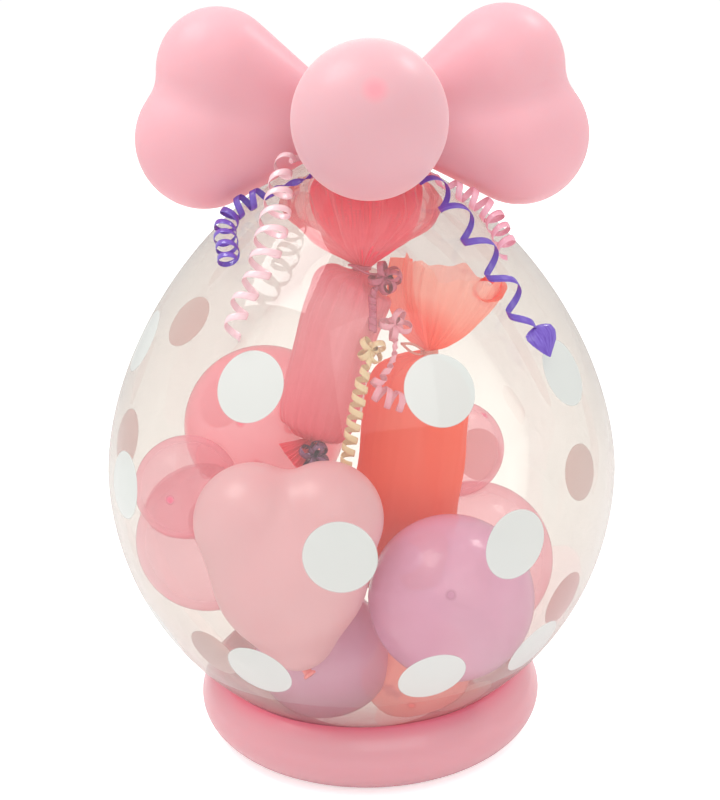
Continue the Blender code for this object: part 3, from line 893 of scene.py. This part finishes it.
def ribbon(name, path, out, width, material, thick=0.0003, cup=0.12):
    """A flat ribbon along a path, its face turned out: a thin lens-shaped profile, a little
    cupped, carried along the path."""
    ahead = unit(np.gradient(path, axis=0))
    across = unit(np.cross(out, ahead))
    up = np.cross(ahead, across)
    half = np.broadcast_to(width, len(path)) / 2.0
    x = np.array([-1.0, -0.97, -0.5, 0.0, 0.5, 0.97, 1.0, 0.97, 0.5, 0.0, -0.5, -0.97])
    y = np.array([0.0, 1.0, 1.0, 1.0, 1.0, 1.0, 0.0, -1.0, -1.0, -1.0, -1.0, -1.0]) * thick / 2.0
    bow = -cup * half[:, None] * (x ** 2 - 0.4)[None, :]
    grid = (path[:, None]
            + (half[:, None] * x[None, :])[..., None] * across[:, None]
            + (y[None, :] + bow)[..., None] * up[:, None])
    return skin(name, grid, material, poles=True)


# The leaf folded at the end of a ribbon: places along it and widths, then the length of the curl
# that it takes the place of, in metres
LEAF_PLACES = (0.0, 0.0010, 0.0030, 0.0075, 0.0130, 0.0190, 0.0240)
LEAF_WIDTHS = (0.0050, 0.0150, 0.0230, 0.0250, 0.0205, 0.0105, 0.0010)
LEAF_TAKES = 0.019


class BALLOON_OT_outer_ribbons(bpy.types.Operator):
    """Build the four curled ribbons that hang from the tie over the bubble's shoulder"""

    bl_idname = "balloon.outer_ribbons"
    bl_label = "Outer ribbons"

    def execute(self, context):
        sizes, colours = context.scene.balloon_sizes, context.scene.balloon_colours
        purple = ribbon_finish(
            "purple_ribbon", tuple(colours.purple), from_screen(88, 46, 160))
        pink = ribbon_finish(
            "pink_ribbon", tuple(colours.pink), from_screen(236, 150, 176))
        pale = ribbon_finish(
            "pale_pink_ribbon", from_screen(240, 222, 220), from_screen(236, 184, 196))
        finishes = {"ribbon_pink_left": pale, "ribbon_pink_right": pink}
        for name, stations in RIBBON_ROUTES.items():
            azimuth, reach, radius, extra = np.array(stations).T
            points, normals = shoulder_frames(sizes, np.radians(azimuth), reach)
            keys = points + normals * (radius + TOUCH_GAP + extra)[:, None]
            line = smooth_line(np.column_stack([keys, radius, normals]), 40)
            pitch, start, hand = RIBBON_CURLS[name]
            count = int(run_of(line[:, :3])[-1] / pitch * 30) + 60
            line = evenly(line, count)
            tight = np.clip((line[:, 3] - 0.0045) / 0.0028, 0.0, 1.0)
            swing = np.maximum(line[:, 3] - 0.0006, 0.0) * (0.25 + 0.75 * tight)
            path, out = curl(line[:, :3], swing, pitch * (1.0 + 1.6 * (1.0 - tight)),
                             line[:, 4:], start, hand)
            leafy = name == "ribbon_purple_right"
            if leafy:
                kept = run_of(path) < run_of(path)[-1] - LEAF_TAKES
                line, path, out = line[kept], path[kept], out[kept]
            pieces = [ribbon(name + "_curl", path, out, sizes.ribbon_width,
                             finishes.get(name, purple))]
            if leafy:
                # Its end is opened out to a leaf that hangs on down the shoulder
                down = unit(line[-1, :3] - line[-20, :3] + 0.0015 * line[-1, 4:])
                run = np.linspace(0.0, LEAF_PLACES[-1], 40)
                leaf_path = path[-1] + run[:, None] * down + (
                    0.0012 * np.sin(run / 0.005))[:, None] * line[-1, 4:]
                face = unit(line[-1, 4:] + np.array([0.0, -0.7, 0.0]))
                pieces.append(ribbon(
                    name + "_leaf", leaf_path, np.broadcast_to(face, leaf_path.shape),
                    np.interp(run, LEAF_PLACES, LEAF_WIDTHS), purple))
            for piece in pieces:
                stands_for(name)
        return {"FINISHED"}


# The winding of the tie: its turns and the radius of its strand, in metres
TIE_TURNS = 3.5
TIE_STRAND_RADIUS = 0.0011


class BALLOON_OT_tie(bpy.types.Operator):
    """Build the ribbon wound round the neck"""

    bl_idname = "balloon.tie"
    bl_label = "Tie"

    def execute(self, context):
        sizes, colours = context.scene.balloon_sizes, context.scene.balloon_colours
        purple = ribbon_finish(
            "tie_ribbon_gloss", tuple(colours.purple), from_screen(88, 46, 160))
        height = bubble_centre_height(sizes) + sizes.bubble_rise + TIE_HEIGHT_ON_NECK
        turn = np.linspace(0.0, TIE_TURNS * 2.0 * math.pi, 260)
        radius = (NECK_GROOVE_RADIUS + TOUCH_GAP + 2.0 * TIE_STRAND_RADIUS
                  + 0.0004 * np.sin(turn / TIE_TURNS))
        path = np.stack([radius * np.cos(turn), radius * np.sin(turn),
                         height + 0.0008 * np.cos(turn / TIE_TURNS * 1.5)], axis=1)
        tie = tube("tie_winding", path, TIE_STRAND_RADIUS, purple, sides=8)
        stands_for("ribbon_tie")
        return {"FINISHED"}


# ---------------------------------------------------------------- sealed in the bubble

# Round balloons: centre, radius, direction of the knot, kind of latex. Where two meet, the one
# that is listed first keeps its shape
ROUND_BALLOONS = {
    "lilac_front": ((0.0677, -0.0900, 0.1461), 0.0649, (0.071, 0.898, -0.435), "lilac"),
    "lilac_low": ((-0.0366, -0.0350, 0.0753), 0.0555, (0.85, -0.25, -0.45), "lilac"),
    "rose_left": ((-0.1392, -0.0500, 0.2279), 0.0414, (0.177, 0.98, -0.092), "rose"),
    "rose_left_low": ((-0.1282, -0.0200, 0.1723), 0.0600, (0.5, 0.6, 0.6), "rose"),
    "deep_left": ((-0.0817, 0.0300, 0.2546), 0.0684, (0.2, 0.9, -0.3), "deep"),
    "rose_right": ((0.0816, 0.0300, 0.2302), 0.0413, (-0.572, 0.265, -0.776), "rose"),
    "rose_right_low": ((0.0983, 0.0300, 0.1282), 0.0680, (0.142, 0.129, -0.981), "rose"),
    "salmon_low": ((0.0420, -0.0150, 0.0520), 0.0500, (0.1, 0.95, 0.3), "salmon"),
}


# Balls that stand for the heart and the gifts where round balloons are pressed against them
PRESSING = (
    ((-0.0830, -0.1050, 0.2185), 0.0445), ((-0.0560, -0.1050, 0.1670), 0.0525),
    ((-0.0160, -0.0330, 0.3500), 0.0300), ((-0.0240, -0.0360, 0.3200), 0.0300),
    ((-0.0320, -0.0400, 0.2880), 0.0300), ((0.0430, -0.0150, 0.2550), 0.0300),
    ((0.0370, -0.0140, 0.2050), 0.0300), ((0.0310, -0.0120, 0.1600), 0.0300),
)

# The heart in the bubble: its middle, and the tip of it that carries the knot, from there
INNER_HEART_PLACE = (-0.0560, -0.1050, 0.1850)
INNER_HEART_TIP = (0.006, -0.004, -0.0820)

# Radius and softness of the mark on the crown of each round balloon
CROWN_MARK = (0.0035, 0.003)


def pressed(grid, neighbours, sizes):
    """The balloon with a dent where it meets each neighbour: a point inside the neighbour's ball
    is moved straight out from its centre, onto it. In the lower half of the bubble, what lies
    past its wall is drawn back onto it."""
    for centre, radius in neighbours:
        offset = grid - np.array(centre)
        away = np.maximum(np.linalg.norm(offset, axis=-1, keepdims=True), 1e-9)
        grid = centre + offset * np.maximum((radius + TOUCH_GAP) / away, 1.0)
    middle = np.array([0.0, 0.0, bubble_centre_height(sizes)])
    half = np.array([sizes.bubble_radius, sizes.bubble_radius, sizes.bubble_depth]) - TOUCH_GAP
    offset = grid - middle
    depth = np.sqrt(((offset / half) ** 2).sum(axis=-1, keepdims=True))
    low = offset[..., 2:] < 0.0
    return np.where(low, middle + offset / np.maximum(depth, 1.0), grid)


def round_balloon(name, centre, radius, knot, material, neighbours, sizes):
    """A blown-up balloon: a sphere drawn out a little towards its neck, then a knot and lip."""
    angle = np.linspace(0.04, math.pi - 0.16, 60)
    drawn = 1.0 + 0.07 * np.clip(-np.cos(angle), 0.0, 1.0) ** 3
    body = np.stack([radius * np.sin(angle), -radius * np.cos(angle) * drawn], axis=1)
    top = radius * 1.07
    neck = smooth_line([
        tuple(body[-1]), (0.0032, top * 1.005), (0.0024, top + 0.003), (0.0052, top + 0.0055),
        (0.0052, top + 0.0085), (0.0026, top + 0.0105), (0.0048, top + 0.0150),
        (0.0052, top + 0.0160), (0.0020, top + 0.0162)], 5)[1:]
    grid = placed(turned(np.vstack([body, neck]), 96), centre, unit(np.array(knot)))
    rows = len(body)
    grid[:rows] = pressed(grid[:rows], neighbours, sizes)
    return skin(name, grid, material, poles=True)


def inner_heart_distance(points):
    """Distance to the heart sealed in the bubble: two lobes, a belly and a tip, in the plane
    of X and Z, rounded together."""
    left = cone_distance(points, (-0.0270, 0, 0.0335), (-0.008, 0, 0.0), 0.0445, 0.051)
    right = cone_distance(points, (0.0285, 0, 0.0345), (0.008, 0, 0.0), 0.0435, 0.051)
    belly = cone_distance(points, (0, 0, -0.018), (0.004, 0, -0.0580), 0.0525, 0.0300)
    return blended(blended(left, right, 0.012), belly, 0.02)


class BALLOON_OT_inner_balloons(bpy.types.Operator):
    """Build the heart and the round balloons sealed in the bubble"""

    bl_idname = "balloon.inner_balloons"
    bl_label = "Balloons inside"

    def execute(self, context):
        sizes, colours = context.scene.balloon_sizes, context.scene.balloon_colours
        # Tone, deep tone, cover face on and edge on, strength of the painted glow and colour of the
        # mark
        kinds = {
            "lilac": (tuple(colours.lilac), from_screen(208, 138, 178), 0.66, 0.95, 0.12,
                      from_screen(196, 132, 168)),
            "rose": (tuple(colours.rose), from_screen(244, 140, 160), 0.22, 0.80, 0.12,
                     from_screen(240, 96, 140)),
            "deep": (tuple(colours.deep), from_screen(250, 130, 148), 0.52, 0.9, 0.08,
                     from_screen(244, 104, 132)),
            "salmon": (tuple(colours.salmon), from_screen(238, 140, 130), 0.55, 0.9, 0.30,
                       from_screen(240, 120, 110)),
        }
        neighbours = list(PRESSING)
        for name, (centre, radius, knot, kind) in ROUND_BALLOONS.items():
            *look, mark_colour = kinds[kind]
            crown = np.array(centre) - unit(np.array(knot)) * radius
            material = clear_latex(
                name + "_latex", *look, [(tuple(crown), *CROWN_MARK)], mark_colour)
            round_balloon(name, centre, radius, knot, material, neighbours, sizes)
            neighbours.append((centre, radius))
        heart_skin = latex("inner_heart_latex", tuple(colours.inner_heart),
                           from_screen(238, 150, 160), depth=0.35, coat=0.3, soft=0.15)
        place = np.array(INNER_HEART_PLACE)
        grid = inflated(inner_heart_distance, (0.0, 0.0, 0.005), 0.16, 90, 150)
        skin("inner_heart", grid + place, heart_skin, poles=True)
        knot_skin = latex("inner_knot_latex", from_screen(250, 130, 125),
                          from_screen(240, 100, 110), coat=0.5)
        tip = place + np.array(INNER_HEART_TIP)
        balloon_tail("inner_heart_knot", tip, tip + np.array([0.007, -0.006, -0.009]), 0.0035,
                     0.0055, knot_skin)
        return {"FINISHED"}


def wrap_grid(line, radius, flat, reference, steps, pleats, waves, ragged=0.0, arc=None):
    """A gathered wrap: an oval of the radius round each point of a line, its radius swinging
    with the angle by the share in pleats, and by slow waves along its length. ragged is how far
    its first edge runs up and down, which fades out over the first eighth. arc is the part of
    the oval, from angle to angle, where the wrap doesn't go all the way round."""
    ahead = unit(np.gradient(line, axis=0))
    side = unit(np.cross(ahead, np.array(reference)))
    rise = np.cross(side, ahead)
    turn = np.arange(steps)[None, :] * 2.0 * math.pi / steps
    if arc:
        turn = np.linspace(*arc, steps)[None, :]
    share = np.linspace(0.0, 1.0, len(line))[:, None]
    swing = (pleats[:, None] * (np.cos(23 * turn + 1.5 * np.sin(9.0 * share))
                                + 0.6 * np.cos(15 * turn + 2.0)
                                + 0.5 * np.cos(37 * turn + 0.5)) / 1.6
             + waves * (np.sin(5 * turn + 14.0 * share) + np.sin(3 * turn - 21.0 * share + 1.0)
                        + 0.6 * np.cos(7 * turn + 33.0 * share)))
    r = radius[:, None] * (1.0 + swing)
    shift = ragged * np.clip(1.0 - share / 0.125, 0.0, 1.0) * (
        np.sin(3 * turn + 0.6) + 0.6 * np.cos(7 * turn) + 0.4 * np.sin(13 * turn))
    line = line[:, None] + shift[..., None] * ahead[:, None]
    return (line + (r * np.cos(turn))[..., None] * side[:, None]
            + (r * flat * np.sin(turn))[..., None] * rise[:, None])


def gathered_wrap(name, keys, count, flat, waves, material, long_side, steps=224,
                  reference=(0.0, 1.0, 0.0), **more):
    """A wrap over keys of (x, y, z, radius, pleats), as wrap_grid says. long_side is not used."""
    line = evenly(smooth_line(keys, 16), count)
    grid = wrap_grid(line[:, :3], line[:, 3], flat, reference, steps, line[:, 4], waves, **more)
    piece = skin(name, grid, material, wrap="arc" not in more, closed=False)


class BALLOON_OT_net_gift(bpy.types.Operator):
    """Build the gift wrapped in pink net, tied at both ends"""

    bl_idname = "balloon.net_gift"
    bl_label = "Net gift"

    def execute(self, context):
        colours = context.scene.balloon_colours
        body, fan = tuple(colours.net), tuple(colours.fan)
        net = wrap_finish("pink_net", (
            (0.0, fan, 0.90), (0.29, from_screen(248, 82, 110), 0.92),
            (0.35, from_screen(228, 112, 128), 0.90), (0.46, body, 0.86),
            (0.62, from_screen(232, 138, 148), 0.88), (0.86, from_screen(230, 104, 118), 0.90),
            (0.94, from_screen(218, 74, 96), 0.94), (1.0, from_screen(232, 62, 86), 0.94)),
            150, 190)
        gathered_wrap("net_wrap", (
            (0.0080, -0.013, 0.4700, 0.0350, 0.070), (0.0085, -0.017, 0.4600, 0.0400, 0.070),
            (0.0090, -0.023, 0.4450, 0.0400, 0.075), (0.0090, -0.028, 0.4300, 0.0345, 0.085),
            (0.0075, -0.030, 0.4160, 0.0230, 0.110), (0.0055, -0.030, 0.4030, 0.0090, 0.150),
            (0.0038, -0.030, 0.3965, 0.0050, 0.160), (0.0020, -0.030, 0.3915, 0.0110, 0.130),
            (-0.0020, -0.030, 0.3845, 0.0290, 0.090), (-0.0080, -0.031, 0.3700, 0.0312, 0.040),
            (-0.0160, -0.033, 0.3500, 0.0312, 0.016), (-0.0240, -0.036, 0.3200, 0.0312, 0.008),
            (-0.0320, -0.040, 0.2880, 0.0308, 0.012), (-0.0360, -0.042, 0.2720, 0.0270, 0.035),
            (-0.0385, -0.043, 0.2650, 0.0160, 0.090), (-0.0400, -0.044, 0.2610, 0.0060, 0.150),
            (-0.0440, -0.046, 0.2575, 0.0070, 0.160), (-0.0560, -0.048, 0.2490, 0.0130, 0.180)),
            260, 0.88, 0.006, net, 0.30)
        # The outer layer of the net spreads wider over the tie
        veil_net = wrap_finish("veil_net", (
            (0.0, from_screen(240, 176, 176), 0.20), (0.6, from_screen(244, 150, 160), 0.30),
            (1.0, from_screen(236, 100, 116), 0.8)), 110, 60)
        gathered_wrap("net_veil", (
            (0.0050, -0.017, 0.4600, 0.0500, 0.060), (0.0048, -0.021, 0.4500, 0.0580, 0.060),
            (0.0045, -0.026, 0.4370, 0.0570, 0.070),
            (0.0040, -0.028, 0.4240, 0.0440, 0.080), (0.0038, -0.029, 0.4120, 0.0260, 0.110),
            (0.0038, -0.030, 0.4020, 0.0090, 0.140), (0.0038, -0.030, 0.3985, 0.0058, 0.140)),
            100, 0.86, 0.010, veil_net, 0.11)
        return {"FINISHED"}


class BALLOON_OT_film_gift(bpy.types.Operator):
    """Build the gift wrapped in orange film, its top spread out over the tie"""

    bl_idname = "balloon.film_gift"
    bl_label = "Film gift"

    def execute(self, context):
        colours = context.scene.balloon_colours
        foil, flare = tuple(colours.foil), tuple(colours.flare)
        film = wrap_finish("orange_film", (
            (0.0, flare, 0.50), (0.12, from_screen(255, 172, 152), 0.58),
            (0.20, from_screen(255, 128, 104), 0.78), (0.25, from_screen(248, 92, 66), 0.92),
            (0.42, foil, 0.93), (0.62, foil, 0.93), (0.80, from_screen(220, 60, 44), 0.93),
            (1.0, from_screen(205, 54, 46), 0.93)), 170, 240,
            marks=[((0.046, -0.036, 0.345), 0.020, 0.024)], mark_colour=from_screen(255, 96, 72))
        gathered_wrap("film_wrap", (
            (0.0762, -0.020, 0.3900, 0.0405, 0.035), (0.0735, -0.020, 0.3810, 0.0395, 0.025),
            (0.0695, -0.020, 0.3670, 0.0345, 0.030), (0.0645, -0.020, 0.3500, 0.0245, 0.050),
            (0.0600, -0.020, 0.3370, 0.0130, 0.110), (0.0570, -0.020, 0.3300, 0.0045, 0.160),
            (0.0560, -0.019, 0.3265, 0.0048, 0.150), (0.0545, -0.018, 0.3220, 0.0130, 0.110),
            (0.0520, -0.016, 0.3120, 0.0310, 0.050), (0.0485, -0.015, 0.2960, 0.0415, 0.014),
            (0.0430, -0.015, 0.2550, 0.0435, 0.005), (0.0370, -0.014, 0.2050, 0.0440, 0.005),
            (0.0310, -0.012, 0.1600, 0.0440, 0.008), (0.0280, -0.010, 0.1320, 0.0400, 0.014),
            (0.0265, -0.010, 0.1200, 0.0260, 0.035)), 260, 0.62, 0.010, film, 0.32,
            ragged=0.0035)
        # A narrow fold of the film stands beside the flare, and its corner is rolled up
        folds = wrap_finish("orange_fold", (
            (0.0, from_screen(250, 120, 92), 0.72), (0.6, from_screen(248, 104, 84), 0.80),
            (1.0, from_screen(244, 92, 76), 0.90)), 40, 80)
        gathered_wrap("film_fold", (
            (0.0345, -0.024, 0.4030, 0.0085, 0.030), (0.0335, -0.024, 0.3900, 0.0100, 0.020),
            (0.0345, -0.024, 0.3700, 0.0105, 0.020), (0.0400, -0.023, 0.3500, 0.0090, 0.040),
            (0.0500, -0.021, 0.3350, 0.0055, 0.080), (0.0560, -0.020, 0.3290, 0.0035, 0.100)),
            90, 0.40, 0.020, folds, 0.09, steps=72, arc=(0.0, math.pi))
        gathered_wrap("film_roll", (
            (0.1030, -0.040, 0.3800, 0.0125, 0.0), (0.1015, -0.032, 0.3785, 0.0105, 0.0),
            (0.0990, -0.022, 0.3755, 0.0095, 0.0)),
            30, 0.82, 0.030, folds, 0.018, steps=72, reference=(0.0, 0.0, 1.0))
        return {"FINISHED"}


def loops(centre, size, count, start, lean):
    """A loose bunch of loops and the outward direction at each point: each loop is a circle
    through the centre, turned from the one before by the golden angle about Y. Its axis lies
    across Y, tipped a little towards it."""
    keys = []
    for k in range(count):
        way = start + 2.4 * k
        out = unit(np.array([math.cos(way), -0.25, math.sin(way)]))
        tip = lean * math.cos(1.9 * k)
        axis = math.cos(tip) * np.cross(out, [0.0, 1.0, 0.0]) + [0.0, math.sin(tip), 0.0]
        side = unit(np.cross(out, axis))
        reach = size * (0.8 + 0.25 * math.cos(3.1 * k))
        for angle in np.radians([25, 85, 145, 205, 265, 325]):
            radial = -math.cos(angle) * out + math.sin(angle) * side
            keys.append(np.concatenate([centre + reach * (out + radial), radial]))
    line = eased(smooth_line(keys, 10), 40)
    return line[:, :3], unit(line[:, 3:])


# Ribbons on the gifts: middle of the bunch of loops, size, loops, start and lean, then keys of
# the curl's (x, y, z, radius), its pitch, start and direction, and the finish
INNER_RIBBONS = {
    "cream_curl": (
        (0.0095, -0.0600, 0.3390), 0.0060, 8, 0.4, 0.8,
        ((0.0080, -0.0640, 0.3330, 0.0020), (0.0030, -0.0680, 0.3200, 0.0050),
         (-0.0005, -0.0700, 0.3050, 0.0060), (-0.0055, -0.0720, 0.2830, 0.0060),
         (-0.0100, -0.0740, 0.2620, 0.0055), (-0.0120, -0.0740, 0.2500, 0.0045)),
        0.0100, 0.0, 1, "cream_ribbon"),
    "pink_curl": (
        (0.0285, -0.0500, 0.3560), 0.0068, 8, 1.2, 0.6,
        ((0.0285, -0.0560, 0.3480, 0.0015), (0.0262, -0.0620, 0.3320, 0.0020),
         (0.0185, -0.0660, 0.3190, 0.0035), (0.0110, -0.0660, 0.3100, 0.0060),
         (0.0190, -0.0660, 0.3030, 0.0078), (0.0290, -0.0650, 0.2985, 0.0078),
         (0.0380, -0.0630, 0.2940, 0.0060)),
        0.0100, 0.5, -1, "rose_ribbon"),
    "mauve_curl": (
        (0.0212, -0.0470, 0.3920), 0.0068, 11, 0.0, 0.9,
        ((0.0150, -0.0500, 0.3860, 0.0020), (0.0115, -0.0530, 0.3800, 0.0032),
         (0.0112, -0.0540, 0.3720, 0.0034), (0.0110, -0.0540, 0.3520, 0.0034)),
        0.0053, 0.0, 1, "mauve_ribbon"),
    "plum_curl": (
        (-0.0370, -0.0560, 0.2540), 0.0066, 9, 0.8, 0.9,
        ((-0.0340, -0.0600, 0.2530, 0.0015), (-0.0280, -0.0620, 0.2500, 0.0030),
         (-0.0230, -0.0640, 0.2440, 0.0035)),
        0.0100, 0.0, 1, "plum_ribbon"),
}

# Thin ties round the necks of the gifts: middle, radius, turns, start, then keys of the loose end
NECK_TIES = {
    "net_cord": ((0.0038, -0.030, 0.3970), 0.0066, -2.5, 1.94, (
        (-0.0060, -0.0385, 0.4010), (-0.0020, -0.0430, 0.4000), (0.0080, -0.0450, 0.3950),
        (0.0170, -0.0460, 0.3940))),
    "film_strand": ((0.0565, -0.020, 0.3280), 0.0060, 2.2, 2.4, (
        (0.0490, -0.0290, 0.3320), (0.0420, -0.0310, 0.3360), (0.0330, -0.0330, 0.3370))),
    "film_strand_low": ((0.0562, -0.020, 0.3262), 0.0064, 1.7, 5.54, (
        (0.0480, -0.0290, 0.3270), (0.0410, -0.0320, 0.3300), (0.0340, -0.0340, 0.3370))),
}


class BALLOON_OT_inner_ribbons(bpy.types.Operator):
    """Build the ribbons and ties on the gifts"""

    bl_idname = "balloon.inner_ribbons"
    bl_label = "Ribbons inside"

    def execute(self, context):
        sizes, colours = context.scene.balloon_sizes, context.scene.balloon_colours
        finishes = {name: ribbon_finish(name, tone, from_screen(*shade), gloss, metallic)
                    for name, tone, shade, gloss, metallic in (
                        ("cream_ribbon", tuple(colours.cream), (234, 200, 150), 0.22, 0.0),
                        ("rose_ribbon", from_screen(250, 190, 202), (240, 142, 164), 0.22, 0.0),
                        ("mauve_ribbon", tuple(colours.mauve), (184, 74, 110), 0.16, 0.3),
                        ("plum_ribbon", from_screen(168, 114, 160), (108, 56, 102), 0.16, 0.35),
                        ("strand_gloss", from_screen(246, 176, 156), (214, 110, 100), 0.22, 0.0))}
        for name, (middle, size, count, first, lean, *rest) in INNER_RIBBONS.items():
            keys, pitch, start, hand, kind = rest
            line = smooth_line(keys, 40)
            line = evenly(line, int(run_of(line[:, :3])[-1] / pitch * 30) + 30)
            path, out = curl(line[:, :3], line[:, 3], pitch, np.array([[0.0, -1.0, 0.05]]),
                             start, hand)
            bunch, bunch_out = loops(np.array(middle), size, count, first, lean)
            joined = np.vstack([np.hstack([bunch, bunch_out]), np.hstack([path, out])])
            joined = eased(evenly(joined, len(joined)), 12)
            path, out = joined[:, :3], unit(joined[:, 3:])
            piece = ribbon(name, path, out, sizes.ribbon_width, finishes[kind])
        for name, (middle, radius, turns, first, end) in NECK_TIES.items():
            turn = first + np.linspace(0.0, turns * 2.0 * math.pi, int(abs(turns) * 16))
            wound = np.array(middle) + np.stack([
                radius * np.cos(turn), radius * np.sin(turn),
                0.0012 * np.linspace(-1.0, 1.0, len(turn))], axis=1)
            path = evenly(smooth_line(np.vstack([wound, end]), 6), 220)
            kind = "mauve_ribbon" if name == "net_cord" else "strand_gloss"
            tie = tube(name, path, 0.0010, finishes[kind], sides=8)
        return {"FINISHED"}


# ---------------------------------------------------------------- camera and stage

# The front picture's camera: place in metres, tilt down and roll in radians, lens for the sensor
CAMERA_PLACE = (0.0, -0.95133, 0.53919)
CAMERA_PITCH = math.radians(15.0756)
CAMERA_ROLL = math.radians(-1.2752)
CAMERA_SENSOR = 36.0
CAMERA_LENS = CAMERA_SENSOR * 1195.0 / 720.0
# Where the lamps point
LIT_PLACE = (0.0, 0.0, 0.36)


class BALLOON_OT_camera(bpy.types.Operator):
    """Place the camera at the viewing angle of the front picture"""

    bl_idname = "balloon.camera"
    bl_label = "Camera"

    def execute(self, context):
        ahead = Vector((0.0, math.cos(CAMERA_PITCH), -math.sin(CAMERA_PITCH)))
        level = Vector((1.0, 0.0, 0.0))
        upright = Vector((0.0, math.sin(CAMERA_PITCH), math.cos(CAMERA_PITCH)))
        right = level * math.cos(CAMERA_ROLL) + upright * math.sin(CAMERA_ROLL)
        up = -level * math.sin(CAMERA_ROLL) + upright * math.cos(CAMERA_ROLL)
        data = bpy.data.cameras.new("front_camera")
        data.sensor_fit = "HORIZONTAL"
        data.sensor_width = CAMERA_SENSOR
        data.lens = CAMERA_LENS
        camera = bpy.data.objects.new("front_camera", data)
        context.scene.collection.objects.link(camera)
        turn = Matrix((right, up, -ahead)).transposed().to_4x4()
        camera.matrix_world = Matrix.Translation(CAMERA_PLACE) @ turn
        context.scene.camera = camera
        return {"FINISHED"}


def soft_box(name, direction, distance, size, power, shift=(0.0, 0.0), turn=0.0):
    """A square lamp that faces the middle of the bubble. It is shifted sideways and upwards in
    its own plane, and turned there by degrees."""
    lamp = bpy.data.lights.new(name, "AREA")
    lamp.shape = "RECTANGLE"
    lamp.size, lamp.size_y = size
    lamp.energy = power
    thing = bpy.data.objects.new(name, lamp)
    way = Vector(direction).normalized()
    side = Vector((0.0, 0.0, 1.0)).cross(way).normalized()
    up = way.cross(side)
    angle = math.radians(turn)
    along = side * math.cos(angle) + up * math.sin(angle)
    place = Vector(LIT_PLACE) + way * distance + side * shift[0] + up * shift[1]
    axes = Matrix((along, way.cross(along), way)).transposed().to_4x4()
    thing.matrix_world = Matrix.Translation(place) @ axes
    bpy.context.scene.collection.objects.link(thing)


class BALLOON_OT_stage(bpy.types.Operator):
    """Build the pale floor and the soft studio light"""

    bl_idname = "balloon.stage"
    bl_label = "Stage"

    def execute(self, context):
        material, tree = finish("pale_floor")
        cloud = noise(tree, place_on_piece(tree), 3.0, 2.0)
        tone = blend_colour(tree, cloud, (0.96, 0.96, 0.96), (0.98, 0.98, 0.98))
        seen = add_node(tree, "ShaderNodeLightPath").outputs["Is Camera Ray"]
        put_out(tree, principled(tree, {
            "Base Color": tone, "Roughness": 0.8, "Specular IOR Level": 0.1,
            "Emission Color": (1.0, 1.0, 1.0),
            "Emission Strength": calc(tree, "MULTIPLY", seen, 0.52)}))
        reach = np.linspace(0.0, 1.0, 30) ** 2 * 40.0 + 0.001
        floor = skin("floor", turned(np.stack([reach, np.full(30, -0.0002)], axis=1), 64),
                     material, closed=False)
        world = bpy.data.worlds.new("studio")
        world.use_nodes = True
        nodes = world.node_tree
        nodes.nodes.clear()
        seen = add_node(nodes, "ShaderNodeLightPath").outputs["Is Camera Ray"]
        strength = calc(nodes, "MULTIPLY_ADD", seen, 0.18, 0.86)
        light = add_node(nodes, "ShaderNodeBackground", {
            "Color": (1.0, 0.99, 0.98, 1.0), "Strength": strength})
        add_node(nodes, "ShaderNodeOutputWorld", {"Surface": light.outputs[0]})
        context.scene.world = world
        soft_box("key_box", (-0.494, -0.089, 0.865), 1.8, (1.0, 0.8), 16.0, (0.05, 0.05), 36.0)
        soft_box("right_box", (0.545, 0.284, 0.789), 1.9, (0.4, 0.4), 7.0)
        soft_box("low_box", (0.85, -0.30, -0.05), 1.6, (0.6, 0.6), 0.7)
        soft_box("front_box", (0.25, -1.0, 0.9), 2.6, (2.0, 1.6), 12.5)
        context.scene.view_settings.view_transform = "Standard"
        context.scene.cycles.transparent_max_bounces = 32
        return {"FINISHED"}


class BALLOON_PT_panel(bpy.types.Panel):
    """Buttons for the balloon's pieces"""

    bl_label = "Bubble balloon"
    bl_idname = "BALLOON_PT_panel"
    bl_space_type = "VIEW_3D"
    bl_region_type = "UI"
    bl_category = "Bubble balloon"

    def draw(self, context):
        for group in (context.scene.balloon_sizes, context.scene.balloon_colours):
            for name in group.__annotations__:
                self.layout.prop(group, name)
        for operator in OPERATORS:
            self.layout.operator(operator.bl_idname)


OPERATORS = (
    BALLOON_OT_camera, BALLOON_OT_outer_ribbons, BALLOON_OT_tie, BALLOON_OT_bubble,
    BALLOON_OT_ring, BALLOON_OT_bow, BALLOON_OT_inner_balloons, BALLOON_OT_net_gift,
    BALLOON_OT_film_gift, BALLOON_OT_inner_ribbons, BALLOON_OT_stage,
)
CLASSES = (BalloonSizes, BalloonColours, *OPERATORS, BALLOON_PT_panel)


def register():
    for item in CLASSES:
        bpy.utils.register_class(item)
    bpy.types.Scene.balloon_sizes = bpy.props.PointerProperty(type=BalloonSizes)
    bpy.types.Scene.balloon_colours = bpy.props.PointerProperty(type=BalloonColours)


def unregister():
    del bpy.types.Scene.balloon_colours
    del bpy.types.Scene.balloon_sizes
    for item in reversed(CLASSES):
        bpy.utils.unregister_class(item)


def main():
    register()
    build_groups()
    for operator in OPERATORS:
        group, name = operator.bl_idname.split(".")
        getattr(getattr(bpy.ops, group), name)()


if __name__ == "__main__":
    main()
